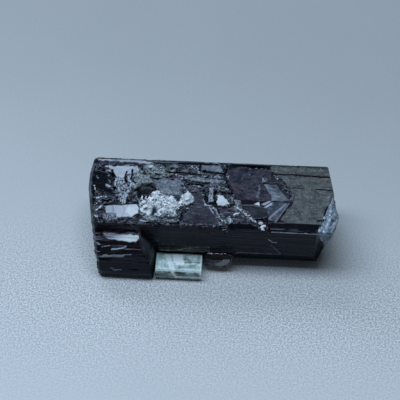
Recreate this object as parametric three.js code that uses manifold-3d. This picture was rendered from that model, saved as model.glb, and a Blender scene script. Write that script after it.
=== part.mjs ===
// A tourmaline crystal specimen, lying on its flattest side: a dark striated prism with a shorter
// parallel prism grown into its front, a pale green crystal and a smoky crystal in the nook below,
// a feldspar crust in a hollow of the top face and a pale flaky crust on the chipped end.
// Millimetres, +X along the crystal, +Y to its back, +Z up.
import * as THREE from "three";
import { mergeVertices } from "three/addons/utils/BufferGeometryUtils.js";
import Module from "manifold-3d";

const wasm = await Module();
wasm.setup();
const { Manifold, Mesh } = wasm;

// ---- Driving dimensions -------------------------------------------------------------------
// Sections are drawn in (y, z): y is measured back from the main prism's front face.
const LENGTH = 30; // end to end, with the rough ends
const FRONT_TOP = 6.6; // height of the edge between the front face and the top face
const TOP_WIDTH = 9.85; // across the top face
const TOP_TILT = THREE.MathUtils.degToRad(8); // the top face leans forward by this
const FRONT_FOOT = 2.2; // height of the front face's lower edge
const FOOT_INSET = 1.2; // how far the resting face starts behind the front face
const BACK_BEVEL = 0.55; // the narrow face along the top's back edge
const FRONT_BEVEL = 1.15; // the narrow face along the right half of the top's front edge
const BEVEL_DROP = 0.38; // and how far it comes down the front face
const BEVEL_START = 6.6; // where along the crystal it begins

const RIB_PITCH = 0.85; // lengthwise striations, on the faces that show
const RIB_DEPTH = 0.07;
const RIB_SHARE = 0.36; // of the pitch that a groove between two ribs takes

const SIDE_LENGTH = 6.6; // the shorter parallel prism, along its top from the left end
const SIDE_FOOT = 8.35; // and along its foot
const SIDE_TOP = 4.9;
const SIDE_OUT = 2.8; // how far it stands in front of the main prism

const SPUR_FROM = -6.6; // a broken ledge below the front face, along the crystal
const SPUR_TO = 3.2;

const GREEN_FROM = -6.45;
const GREEN_LENGTH = 5.6;
const GREEN_DEPTH = 2.55;
const GREEN_HEIGHT = 1.65;

const SMOKY_CENTRE = [1.0, -0.1, 1.3];
const SMOKY_RADII = [2.6, 1.05, 1.25];

const CRUST_HOLLOW = 0.45; // depth of the hollow that the feldspar crust fills
const CRUST_PROUD = 0.15; // how far the feldspar crust stands above the top face
const GAP = 0.15; // clearance between neighbouring pieces

// ---- Helpers ------------------------------------------------------------------------------
const leftEnd = -LENGTH / 2;
const rightEnd = LENGTH / 2;
const topAxis = new THREE.Vector2(Math.cos(TOP_TILT), Math.sin(TOP_TILT));

// A point on the main prism's top face, `across` mm behind its front edge, as (y, z).
function onTop(across, above = 0) {
  return new THREE.Vector2(
    across * topAxis.x - above * topAxis.y,
    FRONT_TOP + across * topAxis.y + above * topAxis.x,
  );
}

function solidOf(geometry) {
  const bare = geometry.index ? geometry.toNonIndexed() : geometry;
  bare.deleteAttribute("normal");
  bare.deleteAttribute("uv");
  const merged = mergeVertices(bare, 1e-4);
  return new Manifold(
    new Mesh({
      numProp: 3,
      vertProperties: merged.attributes.position.array,
      triVerts: new Uint32Array(merged.index.array),
    }),
  );
}

function geometryOf(solid) {
  const mesh = solid.getMesh();
  const geometry = new THREE.BufferGeometry();
  geometry.setAttribute("position", new THREE.BufferAttribute(mesh.vertProperties, 3));
  geometry.setIndex(new THREE.BufferAttribute(mesh.triVerts, 1));
  return geometry;
}

// A (y, z) outline carried along X from `from` to `to`.
function prism(outline, from, to) {
  const geometry = new THREE.ExtrudeGeometry(new THREE.Shape(outline), {
    depth: to - from,
    bevelEnabled: false,
  });
  const axes = new THREE.Matrix4().makeBasis(
    new THREE.Vector3(0, 1, 0),
    new THREE.Vector3(0, 0, 1),
    new THREE.Vector3(1, 0, 0),
  );
  return solidOf(geometry.applyMatrix4(axes).translate(from, 0, 0));
}

// A big block filling one side of a plane: everything that `normal` points to from `point`.
const BLOCK = 60;
function beyond(point, normal) {
  const turn = new THREE.Quaternion().setFromUnitVectors(
    new THREE.Vector3(0, 0, 1),
    new THREE.Vector3(...normal).normalize(),
  );
  const block = new THREE.BoxGeometry(BLOCK, BLOCK, BLOCK).translate(0, 0, BLOCK / 2);
  return solidOf(block.applyQuaternion(turn).translate(...point));
}

// An outline whose listed runs, counted from their first corner, carry striations.
function ribbed(corners, ribbedRuns) {
  const points = [];
  corners.forEach((corner, i) => {
    const next = corners[(i + 1) % corners.length];
    points.push(corner);
    if (!ribbedRuns.includes(i)) return;
    const run = next.clone().sub(corner);
    const inward = new THREE.Vector2(-run.y, run.x).normalize().multiplyScalar(RIB_DEPTH);
    const ribs = Math.max(1, Math.round(run.length() / RIB_PITCH));
    for (let rib = 1; rib < ribs; rib++) {
      const at = corner.clone().addScaledVector(run, rib / ribs);
      const half = run.clone().multiplyScalar(RIB_SHARE / 2 / ribs);
      points.push(at.clone().sub(half), at.clone().add(inward), at.clone().add(half));
    }
  });
  return points;
}

// ---- The dark crystal: main prism, side prism and spur, grown into one --------------------
// Corners run counter-clockwise in (y, z), from the foot of the front face.
const backEdge = onTop(TOP_WIDTH - BACK_BEVEL);
const mainCorners = [
  new THREE.Vector2(FOOT_INSET, 0),
  new THREE.Vector2(8.5, 0),
  new THREE.Vector2(9.75, 1.9),
  new THREE.Vector2(10.1, 5.6),
  new THREE.Vector2(9.75, backEdge.y - 0.3),
  backEdge,
  new THREE.Vector2(0, FRONT_TOP),
  new THREE.Vector2(0, FRONT_FOOT),
];
const mainOutline = ribbed(mainCorners, [2, 3, 5, 6]);

const sideCorners = [
  new THREE.Vector2(-SIDE_OUT + 0.4, 0),
  new THREE.Vector2(FOOT_INSET + 0.4, 0),
  new THREE.Vector2(0.6, SIDE_TOP),
  new THREE.Vector2(-1.4, SIDE_TOP - 0.05),
  new THREE.Vector2(-2.15, 4.0),
  new THREE.Vector2(-2.6, 2.6),
  new THREE.Vector2(-SIDE_OUT, 1.1),
  new THREE.Vector2(-SIDE_OUT, 0.3),
];
const sideOutline = ribbed(sideCorners, [2, 3, 4, 5]);

// Both ends are broken across: each is two or three flat breaks, by a point and a direction.
const leftBreaks = [
  beyond([-14.9, 7.8, 7.7], [-1, 0.16, -0.02]),
  beyond([-14.2, -0.1, 7], [-1, -0.149, -0.08]),
];
const rightBreaks = [
  beyond([14.6, 4.6, 5], [1, 0.2, -0.03]),
  beyond([15, 1.7, 6.8], [1, -0.35, -0.15]),
];

function withoutEnds(solid) {
  return [...leftBreaks, ...rightBreaks].reduce((kept, cut) => kept.subtract(cut), solid);
}

// What the narrow face between the front and the top takes off, from `from` to the right end.
function frontBevel(from) {
  const top = onTop(FRONT_BEVEL);
  const bevel = beyond([0, 0, FRONT_TOP - BEVEL_DROP], [0, -top.y + FRONT_TOP - BEVEL_DROP, top.x]);
  return bevel.subtract(beyond([from, 0, FRONT_TOP], [-1, 0.9, 0]));
}

const uncut = withoutEnds(prism(mainOutline, leftEnd, rightEnd));
const side = withoutEnds(prism(sideOutline, leftEnd, leftEnd + SIDE_FOOT))
  .subtract(beyond([leftEnd + SIDE_LENGTH, -0.7, SIDE_TOP], [1, -0.12, 0.8]))
  .subtract(beyond([leftEnd + SIDE_FOOT - 0.35, -SIDE_OUT, 2.2], [1, -0.5, 0.1]));

// The broken stub of another parallel crystal, along the foot of the front face.
function spur(swell) {
  const section = [
    new THREE.Vector2(1.4, 1.5 - swell),
    new THREE.Vector2(0.6, 3.2 + swell),
    new THREE.Vector2(-0.25 - swell, 2.75 + swell),
    new THREE.Vector2(-0.1 - swell, 2.15 - swell),
  ];
  const end = beyond([SPUR_TO + swell, 0, 2.3], [1, 0, -0.7]);
  return prism(section, SPUR_FROM, SPUR_TO + swell).subtract(end);
}

// The front half of the right end is broken back further, and a flaky crust fills its upper part.
const CHIP_POINT = new THREE.Vector3(12.65, 0.6, 6.7);
const CHIP_NORMAL = new THREE.Vector3(1, -0.37, -0.03).normalize();
const CRUST_TIP = [13.4, 0, 4.1]; // the crust's lowest point, from which it slopes up outwards
const CRUST_SIDE = [12.75, 0, 5.9]; // where its lower edge leaves the front face
function chip(clearance) {
  const point = CHIP_POINT.clone().addScaledVector(CHIP_NORMAL, clearance);
  return beyond(point.toArray(), CHIP_NORMAL.toArray());
}

// The hollow in the top face: its outline as (x, across the face), counter-clockwise.
const crustOutline = [
  [-9.2, 3.4],
  [-8.5, 1.9],
  [-7.0, 0.75],
  [-4.2, 0.9],
  [-3.5, 2.2],
  [-2.3, 3.2],
  [-2.2, 4.4],
  [-3.4, 5.5],
  [-5.6, 5.5],
  [-7.3, 5.9],
  [-9.6, 6.1],
];

// A plate lying in the top face, its outline drawn in by `inset`, from `bottom` to `top` above it.
function topPlate(outline, inset, bottom, top) {
  const middle = outline.reduce((sum, [x, w]) => [sum[0] + x, sum[1] + w], [0, 0]);
  const centre = middle.map((value) => value / outline.length);
  const shape = outline.map(([x, w]) => {
    const away = new THREE.Vector2(x - centre[0], w - centre[1]);
    away.setLength(away.length() - inset);
    return new THREE.Vector2(centre[0] + away.x, centre[1] + away.y);
  });
  const geometry = new THREE.ExtrudeGeometry(new THREE.Shape(shape), {
    depth: top - bottom,
    bevelEnabled: false,
  });
  geometry.translate(0, 0, bottom).rotateX(TOP_TILT).translate(0, 0, FRONT_TOP);
  return solidOf(geometry);
}

const darkCrystal = uncut
  .add(side)
  .add(spur(0))
  .subtract(frontBevel(BEVEL_START))
  .subtract(chip(0))
  .subtract(topPlate(crustOutline, 0, -CRUST_HOLLOW, CRUST_HOLLOW));

const endCrust = uncut
  .intersect(chip(GAP))
  .subtract(beyond(CRUST_TIP, [0.6, -0.1, -1]))
  .subtract(beyond(CRUST_SIDE, [-0.93, 0, -0.36]));
const feldsparCrust = topPlate(crustOutline, GAP, GAP - CRUST_HOLLOW, CRUST_PROUD);

// ---- The pale green crystal ---------------------------------------------------------------
const greenCorners = [
  new THREE.Vector2(-GREEN_DEPTH - 0.1, 0),
  new THREE.Vector2(-0.15, 0),
  new THREE.Vector2(0.1, 0.8),
  new THREE.Vector2(-0.15, GREEN_HEIGHT + 0.1),
  new THREE.Vector2(-GREEN_DEPTH, GREEN_HEIGHT - 0.1),
  new THREE.Vector2(-GREEN_DEPTH - 0.25, GREEN_HEIGHT - 0.4),
  new THREE.Vector2(-GREEN_DEPTH - 0.25, 0.35),
];
const greenEnd = GREEN_FROM + GREEN_LENGTH;
const greenCrystal = prism(greenCorners, GREEN_FROM, greenEnd).subtract(
  beyond([greenEnd - 0.1, -1.4, 1.2], [1, 0.04, 0.06]),
);

// ---- The smoky crystal under the front face -----------------------------------------------
// A squashed ball, less the room that the dark crystal and the ground take up, with one broken side.
const heart = new THREE.Vector2(4.9, 3.8); // the middle of the main prism's section
const roomedCorners = mainCorners.map((corner) =>
  corner.clone().sub(heart).multiplyScalar(1.04).add(heart),
);
const smokyCrystal = solidOf(
  new THREE.SphereGeometry(1, 28, 18).scale(...SMOKY_RADII).translate(...SMOKY_CENTRE),
)
  .subtract(prism(roomedCorners, leftEnd, rightEnd))
  .subtract(spur(GAP))
  .subtract(beyond([0, 0, 0.2], [0, 0, -1]))
  .subtract(beyond([3.15, 0, 2.3], [1, 0, -0.84]))
  .subtract(beyond([-0.65, 0, 1], [-1, 0, 0]));

// ---- The specimen -------------------------------------------------------------------------
const materials = {
  tourmaline: new THREE.MeshStandardMaterial({ color: 0x1b1d24, roughness: 0.2 }),
  green: new THREE.MeshStandardMaterial({ color: 0xa9c9bd, roughness: 0.15 }),
  smoky: new THREE.MeshStandardMaterial({ color: 0x4a4247, roughness: 0.2 }),
  feldspar: new THREE.MeshStandardMaterial({ color: 0xd5dbe0, roughness: 0.7 }),
  mica: new THREE.MeshStandardMaterial({ color: 0x8c9aab, roughness: 0.5 }),
};

const specimen = new THREE.Group();
const pieces = [
  ["tourmaline_crystal", darkCrystal, materials.tourmaline],
  ["green_crystal", greenCrystal, materials.green],
  ["smoky_crystal", smokyCrystal, materials.smoky],
  ["feldspar_crust", feldsparCrust, materials.feldspar],
  ["end_crust", endCrust, materials.mica],
];
for (const [name, solid, material] of pieces) {
  const mesh = new THREE.Mesh(geometryOf(solid), material);
  mesh.name = name;
  specimen.add(mesh);
}

// The origin is the middle of the specimen's base.
const box = new THREE.Box3().setFromObject(specimen);
const middle = box.getCenter(new THREE.Vector3());
for (const mesh of specimen.children) mesh.position.set(-middle.x, -middle.y, -box.min.z);

export default specimen;
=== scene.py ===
"""A tourmaline crystal specimen on pale card: the looks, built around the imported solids."""

import math

import bmesh
import bpy
import numpy as np
from mathutils import Matrix, Vector


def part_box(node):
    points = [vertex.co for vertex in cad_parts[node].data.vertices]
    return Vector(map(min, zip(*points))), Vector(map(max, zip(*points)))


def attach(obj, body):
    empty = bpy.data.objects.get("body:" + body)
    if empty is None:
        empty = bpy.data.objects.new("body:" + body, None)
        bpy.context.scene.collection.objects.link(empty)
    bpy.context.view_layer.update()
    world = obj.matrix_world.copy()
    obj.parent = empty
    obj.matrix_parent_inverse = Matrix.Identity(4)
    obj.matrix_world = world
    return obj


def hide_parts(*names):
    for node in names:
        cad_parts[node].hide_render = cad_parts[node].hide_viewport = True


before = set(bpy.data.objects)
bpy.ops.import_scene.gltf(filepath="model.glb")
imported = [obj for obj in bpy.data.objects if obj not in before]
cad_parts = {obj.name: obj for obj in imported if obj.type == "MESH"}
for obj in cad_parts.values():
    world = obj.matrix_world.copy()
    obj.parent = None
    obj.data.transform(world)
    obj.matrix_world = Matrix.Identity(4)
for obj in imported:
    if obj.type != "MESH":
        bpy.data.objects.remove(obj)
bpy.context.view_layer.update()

MM = 0.001  # everything below is worked out in millimetres and written to meshes in metres

dark_low = np.array(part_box("tourmaline_crystal")[0]) / MM
green_low, green_high = (np.array(corner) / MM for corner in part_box("green_crystal"))

# ---- Sizes of the dark crystal, in millimetres ---------------------------------------------
# Its section is drawn in (y, z), with y measured back from the main prism's front face.
SIDE_OUT = 2.8  # how far the side prism stands in front of the main one
FRONT_Y = dark_low[1] + SIDE_OUT
FRONT_TOP = 6.6
TOP_TILT = math.radians(8)
TOP_WIDTH = 9.3
FRONT_FOOT = 2.2
HEART = np.array([4.9, 3.8])  # the middle of the main prism's section

STATIONS = 322  # cross-sections along the crystal
CAP_RINGS = 20  # rings that close each broken end

TOURMALINE_IOR = 1.63
FELDSPAR_IOR = 1.53
MICA_IOR = 1.55


# ---- Node trees ----------------------------------------------------------------------------
class Wire:
    """A socket of a node tree, with arithmetic: an expression on wires adds its Math nodes."""

    def __init__(self, graph, socket):
        self.graph = graph
        self.socket = socket

    def math(self, operation, *others):
        values = dict(enumerate((self, *others)))
        return self.graph.node("ShaderNodeMath", {"operation": operation}, values)

    def __add__(self, other):
        return self.math("ADD", other)

    def __sub__(self, other):
        return self.math("SUBTRACT", other)

    def __mul__(self, other):
        return self.math("MULTIPLY", other)

    def __truediv__(self, other):
        return self.math("DIVIDE", other)

    def __rsub__(self, other):
        values = {0: other, 1: self}
        return self.graph.node("ShaderNodeMath", {"operation": "SUBTRACT"}, values)

    def __pow__(self, other):
        return self.math("POWER", other)

    def __abs__(self):
        return self.math("ABSOLUTE")

    __radd__ = __add__
    __rmul__ = __mul__

    def most(self, other):
        return self.math("MAXIMUM", other)

    def least(self, other):
        return self.math("MINIMUM", other)

    def rise(self, low, high, to_low=0.0, to_high=1.0):
        """Climbs smoothly from to_low to to_high as the value goes from low to high."""
        settings = {"interpolation_type": "SMOOTHSTEP"}
        values = {0: self, 1: low, 2: high, 3: to_low, 4: to_high}
        return self.graph.node("ShaderNodeMapRange", settings, values)


class Graph:
    """A node tree being filled in, for a shader or for geometry."""

    def __init__(self, tree):
        self.tree = tree

    def node(self, kind, settings=None, values=None, out=0):
        """Adds a node: settings first, then its sockets' values or wires, by name or number."""
        node = self.tree.nodes.new(kind)
        for name, value in (settings or {}).items():
            setattr(node, name, value)
        for key, value in (values or {}).items():
            if isinstance(value, Wire):
                self.tree.links.new(value.socket, node.inputs[key])
            else:
                node.inputs[key].default_value = value
        return Wire(self, node.outputs[out])

    def end(self, kind, **wires):
        """Adds the tree's last node."""
        last = self.tree.nodes.new(kind)
        for name, wire in wires.items():
            self.tree.links.new(wire.socket, last.inputs[name])

    def outputs(self, wire, *names):
        """Other outputs of the node that a wire comes from."""
        return [Wire(self, wire.socket.node.outputs[name]) for name in names]

    def vector(self, operation, *vectors, out=0):
        values = dict(enumerate(vectors))
        return self.node("ShaderNodeVectorMath", {"operation": operation}, values, out)

    def scaled(self, vector, scale):
        values = {0: vector, "Scale": scale}
        return self.node("ShaderNodeVectorMath", {"operation": "SCALE"}, values)

    def combined(self, x, y, z):
        return self.node("ShaderNodeCombineXYZ", None, {0: x, 1: y, 2: z})

    def parts(self, vector):
        first = self.node("ShaderNodeSeparateXYZ", None, {0: vector})
        return [first] + self.outputs(first, 1, 2)

    def blend(self, factor, a, b):
        """A colour between a and b."""
        settings = {"data_type": "RGBA", "blend_type": "MIX"}
        return self.node("ShaderNodeMix", settings, {0: factor, 6: a, 7: b}, out=2)

    def seeded_noise(self, at, seed, scale, detail, roughness):
        values = {"Vector": at, "W": seed, "Scale": scale}
        values |= {"Detail": detail, "Roughness": roughness}
        return self.node("ShaderNodeTexNoise", {"noise_dimensions": "4D"}, values)

    def shaken(self, at, scale, wobble, detail=2.0):
        """A vector pushed about smoothly, so that the cells drawn on it get wavy borders."""
        values = {"Vector": at, "Scale": scale, "Detail": detail}
        shake = self.node("ShaderNodeTexNoise", None, values, out="Color")
        return self.vector("ADD", at, self.scaled(shake, wobble))


def rgb(red, green, blue):
    return (red, green, blue, 1.0)


class Surface(Graph):
    """A material's node tree, with the inputs that the finishes here are made from."""

    def __init__(self, name):
        self.material = bpy.data.materials.new(name)
        self.material.use_nodes = True
        super().__init__(self.material.node_tree)
        self.tree.nodes.clear()
        self.place = self.node("ShaderNodeTexCoord", out="Object")

    def attribute(self, name):
        return self.node("ShaderNodeAttribute", {"attribute_name": name}, out="Fac")

    def noise(self, scale, stretch=(1, 1, 1), detail=3.0, roughness=0.55, seed=0.0):
        """Random grain from 0 to 1; scale is in features per millimetre."""
        mapping = {"Vector": self.place, "Scale": [s / MM for s in stretch]}
        at = self.node("ShaderNodeMapping", {"vector_type": "POINT"}, mapping)
        return self.seeded_noise(at, seed, scale, detail, roughness)

    def crackle(self, scale, stretch, wobble, width, seed=0.0):
        """0 in the cracks between warped cells, which are 1; scale is in cells per millimetre."""
        mapping = {"Vector": self.place, "Scale": [s * scale / MM for s in stretch]}
        mapping["Location"] = (seed, seed, seed)
        at = self.node("ShaderNodeMapping", {"vector_type": "POINT"}, mapping)
        values = {"Vector": self.shaken(at, 1.2, wobble, detail=3.0), "Scale": 1.0}
        settings = {"feature": "DISTANCE_TO_EDGE"}
        edge = self.node("ShaderNodeTexVoronoi", settings, values, out="Distance")
        return edge.rise(0.0, width)

    def bump(self, height, depth, strength=1.0):
        """A Bump from a height of 0 to 1 that stands for depth millimetres."""
        values = {"Height": height, "Distance": depth * MM, "Strength": strength}
        return self.node("ShaderNodeBump", None, values)

    def principled(self, **sockets):
        """A Principled BSDF; an underscore in a socket's name stands for a space."""
        values = {name.replace("_", " "): value for name, value in sockets.items()}
        return self.node("ShaderNodeBsdfPrincipled", None, values)

    def finish(self, shader, volume=None):
        wires = {"Volume": volume} if volume else {}
        self.end("ShaderNodeOutputMaterial", Surface=shader, **wires)
        return self.material


class Growth(Graph):
    """A Geometry Nodes tree that takes a mesh and named sizes, and gives a mesh."""

    def __init__(self, name, sizes):
        super().__init__(bpy.data.node_groups.new(name, "GeometryNodeTree"))
        face = self.tree.interface
        face.new_socket("Mesh", in_out="INPUT", socket_type="NodeSocketGeometry")
        face.new_socket("Mesh", in_out="OUTPUT", socket_type="NodeSocketGeometry")
        self.sizes = dict(sizes)
        for size in sizes:
            face.new_socket(size, in_out="INPUT", socket_type="NodeSocketFloat")
        face.new_socket("Seed", in_out="INPUT", socket_type="NodeSocketInt")
        face.new_socket("Material", in_out="INPUT", socket_type="NodeSocketMaterial")
        self.mesh = self.node("NodeGroupInput")

    def size(self, name):
        return Wire(self, self.mesh.socket.node.outputs[name])

    def attribute(self, name):
        values = {"Name": name}
        return self.node("GeometryNodeInputNamedAttribute", {"data_type": "FLOAT"}, values)

    def noise(self, at, scale, detail=2.0, roughness=0.5):
        return self.seeded_noise(at, self.size("Seed"), scale, detail, roughness)

    def random(self, low, high, seed):
        """A random number, or a random vector where low and high are vectors."""
        if isinstance(low, tuple):
            values = {0: low, 1: high, "Seed": seed}
            return self.node("FunctionNodeRandomValue", {"data_type": "FLOAT_VECTOR"}, values)
        values = {2: low, 3: high, "Seed": seed}
        return self.node("FunctionNodeRandomValue", {"data_type": "FLOAT"}, values, out=1)

    def cells(self, at):
        """Flat cells: each one's random colour, and its tilted patch's height at this place."""
        cell = self.node("ShaderNodeTexVoronoi", None, {"Vector": at, "Scale": 1.0}, out="Color")
        (centre,) = self.outputs(cell, "Position")
        tilt = self.vector("SUBTRACT", cell, (0.5, 0.5, 0.5))
        off = self.vector("SUBTRACT", at, centre)
        return cell, self.vector("DOT_PRODUCT", off, tilt, out="Value")

    def moved(self, offset):
        """The tree's mesh with its points moved."""
        values = {"Geometry": self.mesh, "Offset": offset}
        return self.node("GeometryNodeSetPosition", None, values)

    def finish(self, geometry):
        """Ends the tree: instances become real and the material is set."""
        real = self.node("GeometryNodeRealizeInstances", None, {"Geometry": geometry})
        values = {"Geometry": real, "Material": self.size("Material")}
        done = self.node("GeometryNodeSetMaterial", None, values)
        self.end("NodeGroupOutput", Mesh=done)
        return self

    def grow(self, piece, seed, material):
        """Runs the tree on a piece and keeps the result as its plain mesh."""
        modifier = piece.modifiers.new(self.tree.name, "NODES")
        modifier.node_group = self.tree
        values = {**self.sizes, "Seed": seed, "Material": material}
        for item in self.tree.interface.items_tree:
            if item.in_out == "INPUT" and item.name in values:
                modifier[item.identifier] = values[item.name]
        keep_modified(piece, modifier)
        piece.data.name = piece.name


# ---- Meshes --------------------------------------------------------------------------------
def linked(name, data):
    """A new object in the scene, for a mesh, a lamp or a camera."""
    item = bpy.data.objects.new(name, data)
    bpy.context.scene.collection.objects.link(item)
    return item


def keep_modified(piece, modifier):
    """Makes what a modifier gives the piece's plain mesh, and takes the modifier off."""
    evaluated = piece.evaluated_get(bpy.context.evaluated_depsgraph_get())
    mesh = bpy.data.meshes.new_from_object(evaluated)
    piece.modifiers.remove(modifier)
    piece.data = mesh


def store(mesh, **masks):
    """Puts one float attribute on the mesh's points per keyword."""
    for name, values in masks.items():
        layer = mesh.attributes.new(name, "FLOAT", "POINT")
        layer.data.foreach_set("value", np.asarray(values, np.float32))


def new_piece(name, points, faces, material=None, **masks):
    """An object at the origin from points in millimetres, with one float attribute per mask."""
    mesh = bpy.data.meshes.new(name)
    mesh.from_pydata((np.asarray(points) * MM).tolist(), [], faces)
    store(mesh, **masks)
    if material:
        mesh.materials.append(material)
    return linked(name, mesh)


def facing_out(piece):
    """Turns every face of a closed piece outwards."""
    work = bmesh.new()
    work.from_mesh(piece.data)
    bmesh.ops.recalc_face_normals(work, faces=work.faces)
    work.to_mesh(piece.data)
    work.free()


def creased(piece, degrees):
    """Smooth shading, with hard edges where faces meet at more than this angle."""
    piece.data.shade_smooth()
    piece.data.set_sharp_from_angle(angle=math.radians(degrees))


def place(piece, node, slot):
    """Puts the piece on the root body and hides the solid it stands in for. `slot`, what it is
    made of, is not used.
    """
    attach(piece, "root")
    if node:
        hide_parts(node)


# ---- Shapes on a face, with numpy ------------------------------------------------------------
TILE = 64


def ease(value):
    """Climbs smoothly from 0 to 1 as the value does."""
    value = np.clip(value, 0, 1)
    return value * value * (3 - 2 * value)


def hills(x, y, seed):
    """Smooth random hills from -1 to 1, about one unit across; they repeat after TILE units."""
    table = np.random.default_rng(seed).uniform(-1, 1, (TILE, TILE))
    i, j = np.floor(x).astype(int), np.floor(y).astype(int)
    u, v = ease(x - i), ease(y - j)
    i, j, right, up = i % TILE, j % TILE, (i + 1) % TILE, (j + 1) % TILE
    low = table[i, j] * (1 - u) + table[right, j] * u
    high = table[i, up] * (1 - u) + table[right, up] * u
    return low * (1 - v) + high * v


def rough_hills(x, y, seed, octaves=3):
    """Hills with smaller hills on them, each half as wide and half as high as the last."""
    return sum(hills(x * 2**n, y * 2**n, seed + n) / 2**n for n in range(octaves)) / 1.6


def wavering(x, y, ragged, pitch, seed):
    """Places pushed about a little, which makes the edges drawn at them uneven."""
    across = rough_hills(x * pitch, y * pitch, seed)
    up = rough_hills(x * pitch, y * pitch, seed + 12)
    return x + ragged * across, y + ragged * up


def gap_to(x, y, points):
    """How far each place is from a line through the points."""
    nearest = np.full(x.shape, np.inf)
    for (ax, ay), (bx, by) in zip(points, points[1:]):
        dx, dy = bx - ax, by - ay
        along = np.clip(((x - ax) * dx + (y - ay) * dy) / (dx**2 + dy**2), 0, 1)
        nearest = np.minimum(nearest, np.hypot(x - ax - along * dx, y - ay - along * dy))
    return nearest


def inside(x, y, outline, soft=0.08, ragged=0.12, seed=0):
    """1 inside a closed outline and 0 outside, with an uneven edge about `soft` wide."""
    x, y = wavering(x, y, ragged, 2.2, seed + 11)
    closed = [*outline, outline[0]]
    within = np.zeros(x.shape, bool)
    for (ax, ay), (bx, by) in zip(closed, closed[1:]):
        if ay != by:
            crossing = ax + (y - ay) * (bx - ax) / (by - ay)
            within ^= ((ay > y) != (by > y)) & (x < crossing)
    gap = gap_to(x, y, closed)
    return ease(0.5 + np.where(within, gap, -gap) / soft)


def near_line(x, y, points, width, ragged=0.06, seed=0):
    """1 on a line through the points, falling to 0 at half the width away."""
    x, y = wavering(x, y, ragged, 3, seed + 5)
    return ease(1.7 - 3.4 * gap_to(x, y, points) / width)


# ---- The dark crystal's body -----------------------------------------------------------------
def divided(corners, counts):
    """Points along a line of corners, `counts` on each run; the last corner isn't included."""
    runs = []
    for a, b, count in zip(corners, corners[1:], counts):
        steps = np.arange(count)[:, None] / count
        runs.append(np.array(a) + (np.array(b) - np.array(a)) * steps)
    return np.vstack(runs)


def top_point(across):
    """A place on the top face, this far back along its slope, as (y, z)."""
    return (across * math.cos(TOP_TILT), FRONT_TOP + across * math.sin(TOP_TILT))


BACK_EDGE = top_point(TOP_WIDTH)
BACK_SHOULDER = (9.75, BACK_EDGE[1] - 0.3)
BACK_CORNERS = [(1.2, 0), (8.5, 0), (9.75, 1.9), (10.1, 5.6), BACK_SHOULDER, BACK_EDGE]
BACK_COUNTS = [14, 8, 20, 12, 6]
TOP_COUNT = 126
FRONT_CORNERS = [(0, FRONT_TOP), (0, FRONT_FOOT), (1.2, 0)]
FRONT_COUNTS = [62, 16]
SIDE_CORNERS = [
    (0, FRONT_TOP), (0, 5.15), (-0.55, 5.0), (-1.35, 4.72), (-2.15, 4.0), (-2.6, 2.6),
    (-2.8, 1.1), (-2.75, 0.3), (-2.4, 0), (1.2, 0),
]
SIDE_COUNTS = [12, 6, 9, 11, 12, 8, 4, 3, 13]
TOP_FIRST = sum(BACK_COUNTS)  # the top face's columns run from here
TOP_LAST = TOP_FIRST + TOP_COUNT
RIBS_FIRST = sum(BACK_COUNTS[:2])  # the columns before this one are the flat underside


def crystal_sections():
    """Two sections with the same columns: the main prism alone, and with the side prism."""
    back = divided(BACK_CORNERS, BACK_COUNTS)
    top = divided([BACK_EDGE, (0, FRONT_TOP)], [TOP_COUNT])
    alone = np.vstack([back, top, divided(FRONT_CORNERS, FRONT_COUNTS)])
    joined = np.vstack([back, top, divided(SIDE_CORNERS, SIDE_COUNTS)])
    return alone, joined


def left_end(y, z):
    """Where the broken left end is, along X, for each point of a section."""
    back = -14.9 + 0.16 * (y - 7.8)
    front = -14.2 - 0.149 * (y + 0.1) - 0.08 * (z - 7)
    return np.maximum(np.maximum(back, front), dark_low[0])


def right_end(y, z):
    """The same for the broken right end, which is cut back at the front by a large chip."""
    chip = 12.76 + 0.37 * (y - 0.6) + 0.03 * (z - 6.7)
    plain = 14.6 - 0.2 * (y - 4.6) + 0.03 * (z - 5)
    return np.minimum(chip, plain)


def side_end(y, z):
    """Where the side prism breaks off: the break slopes out below its top and is hollowed."""
    upper = -8.4 + 0.12 * (y + 0.7) - 0.8 * (z - 4.9)
    lower = -7.0 + 0.5 * (y + 2.8) - 0.1 * (z - 2.2)
    hollow = 0.3 * np.exp(-((y + 1.5) ** 2 + (z - 2.6) ** 2) / 1.8)
    return np.minimum(np.minimum(upper, lower), -6.65) - hollow


class TopFace:
    """The relief, the stains and the painted light of the top face, on a grid of (x, across)
    points.
    """

    CHANNELS = ("etched", "pale", "violet", "film", "slate", "dark", "granular")

    def __init__(self, x, across):
        self.x = x
        self.across = across
        self.height = np.zeros(x.shape)
        self.marks = {name: np.zeros(x.shape) for name in self.CHANNELS}

    def plate(self, outline, height, lean=0.0, swing=0.0, soft=0.1, ragged=0.12, seed=0, **marks):
        """A flat facet: `lean` tips it towards the front and `swing` to the right, in degrees."""
        mask = inside(self.x, self.across, outline, soft, ragged, seed)
        cx, cw = np.mean(np.array(outline), axis=0)
        plane = height + (self.across - cw) * math.tan(math.radians(lean))
        plane -= (self.x - cx) * math.tan(math.radians(swing))
        self.height = self.height * (1 - mask) + plane * mask
        self.mark(mask, **marks)

    def mark(self, mask, **marks):
        for name, value in marks.items():
            self.marks[name] = self.marks[name] * (1 - mask) + value * mask

    def line(self, points, width, height=0.0, ragged=0.06, seed=0, **marks):
        """A narrow feature along a line: a crack where height is below 0, or else a fin."""
        mask = near_line(self.x, self.across, points, width, ragged, seed)
        self.height += mask * height
        self.mark(mask, **marks)


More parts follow.
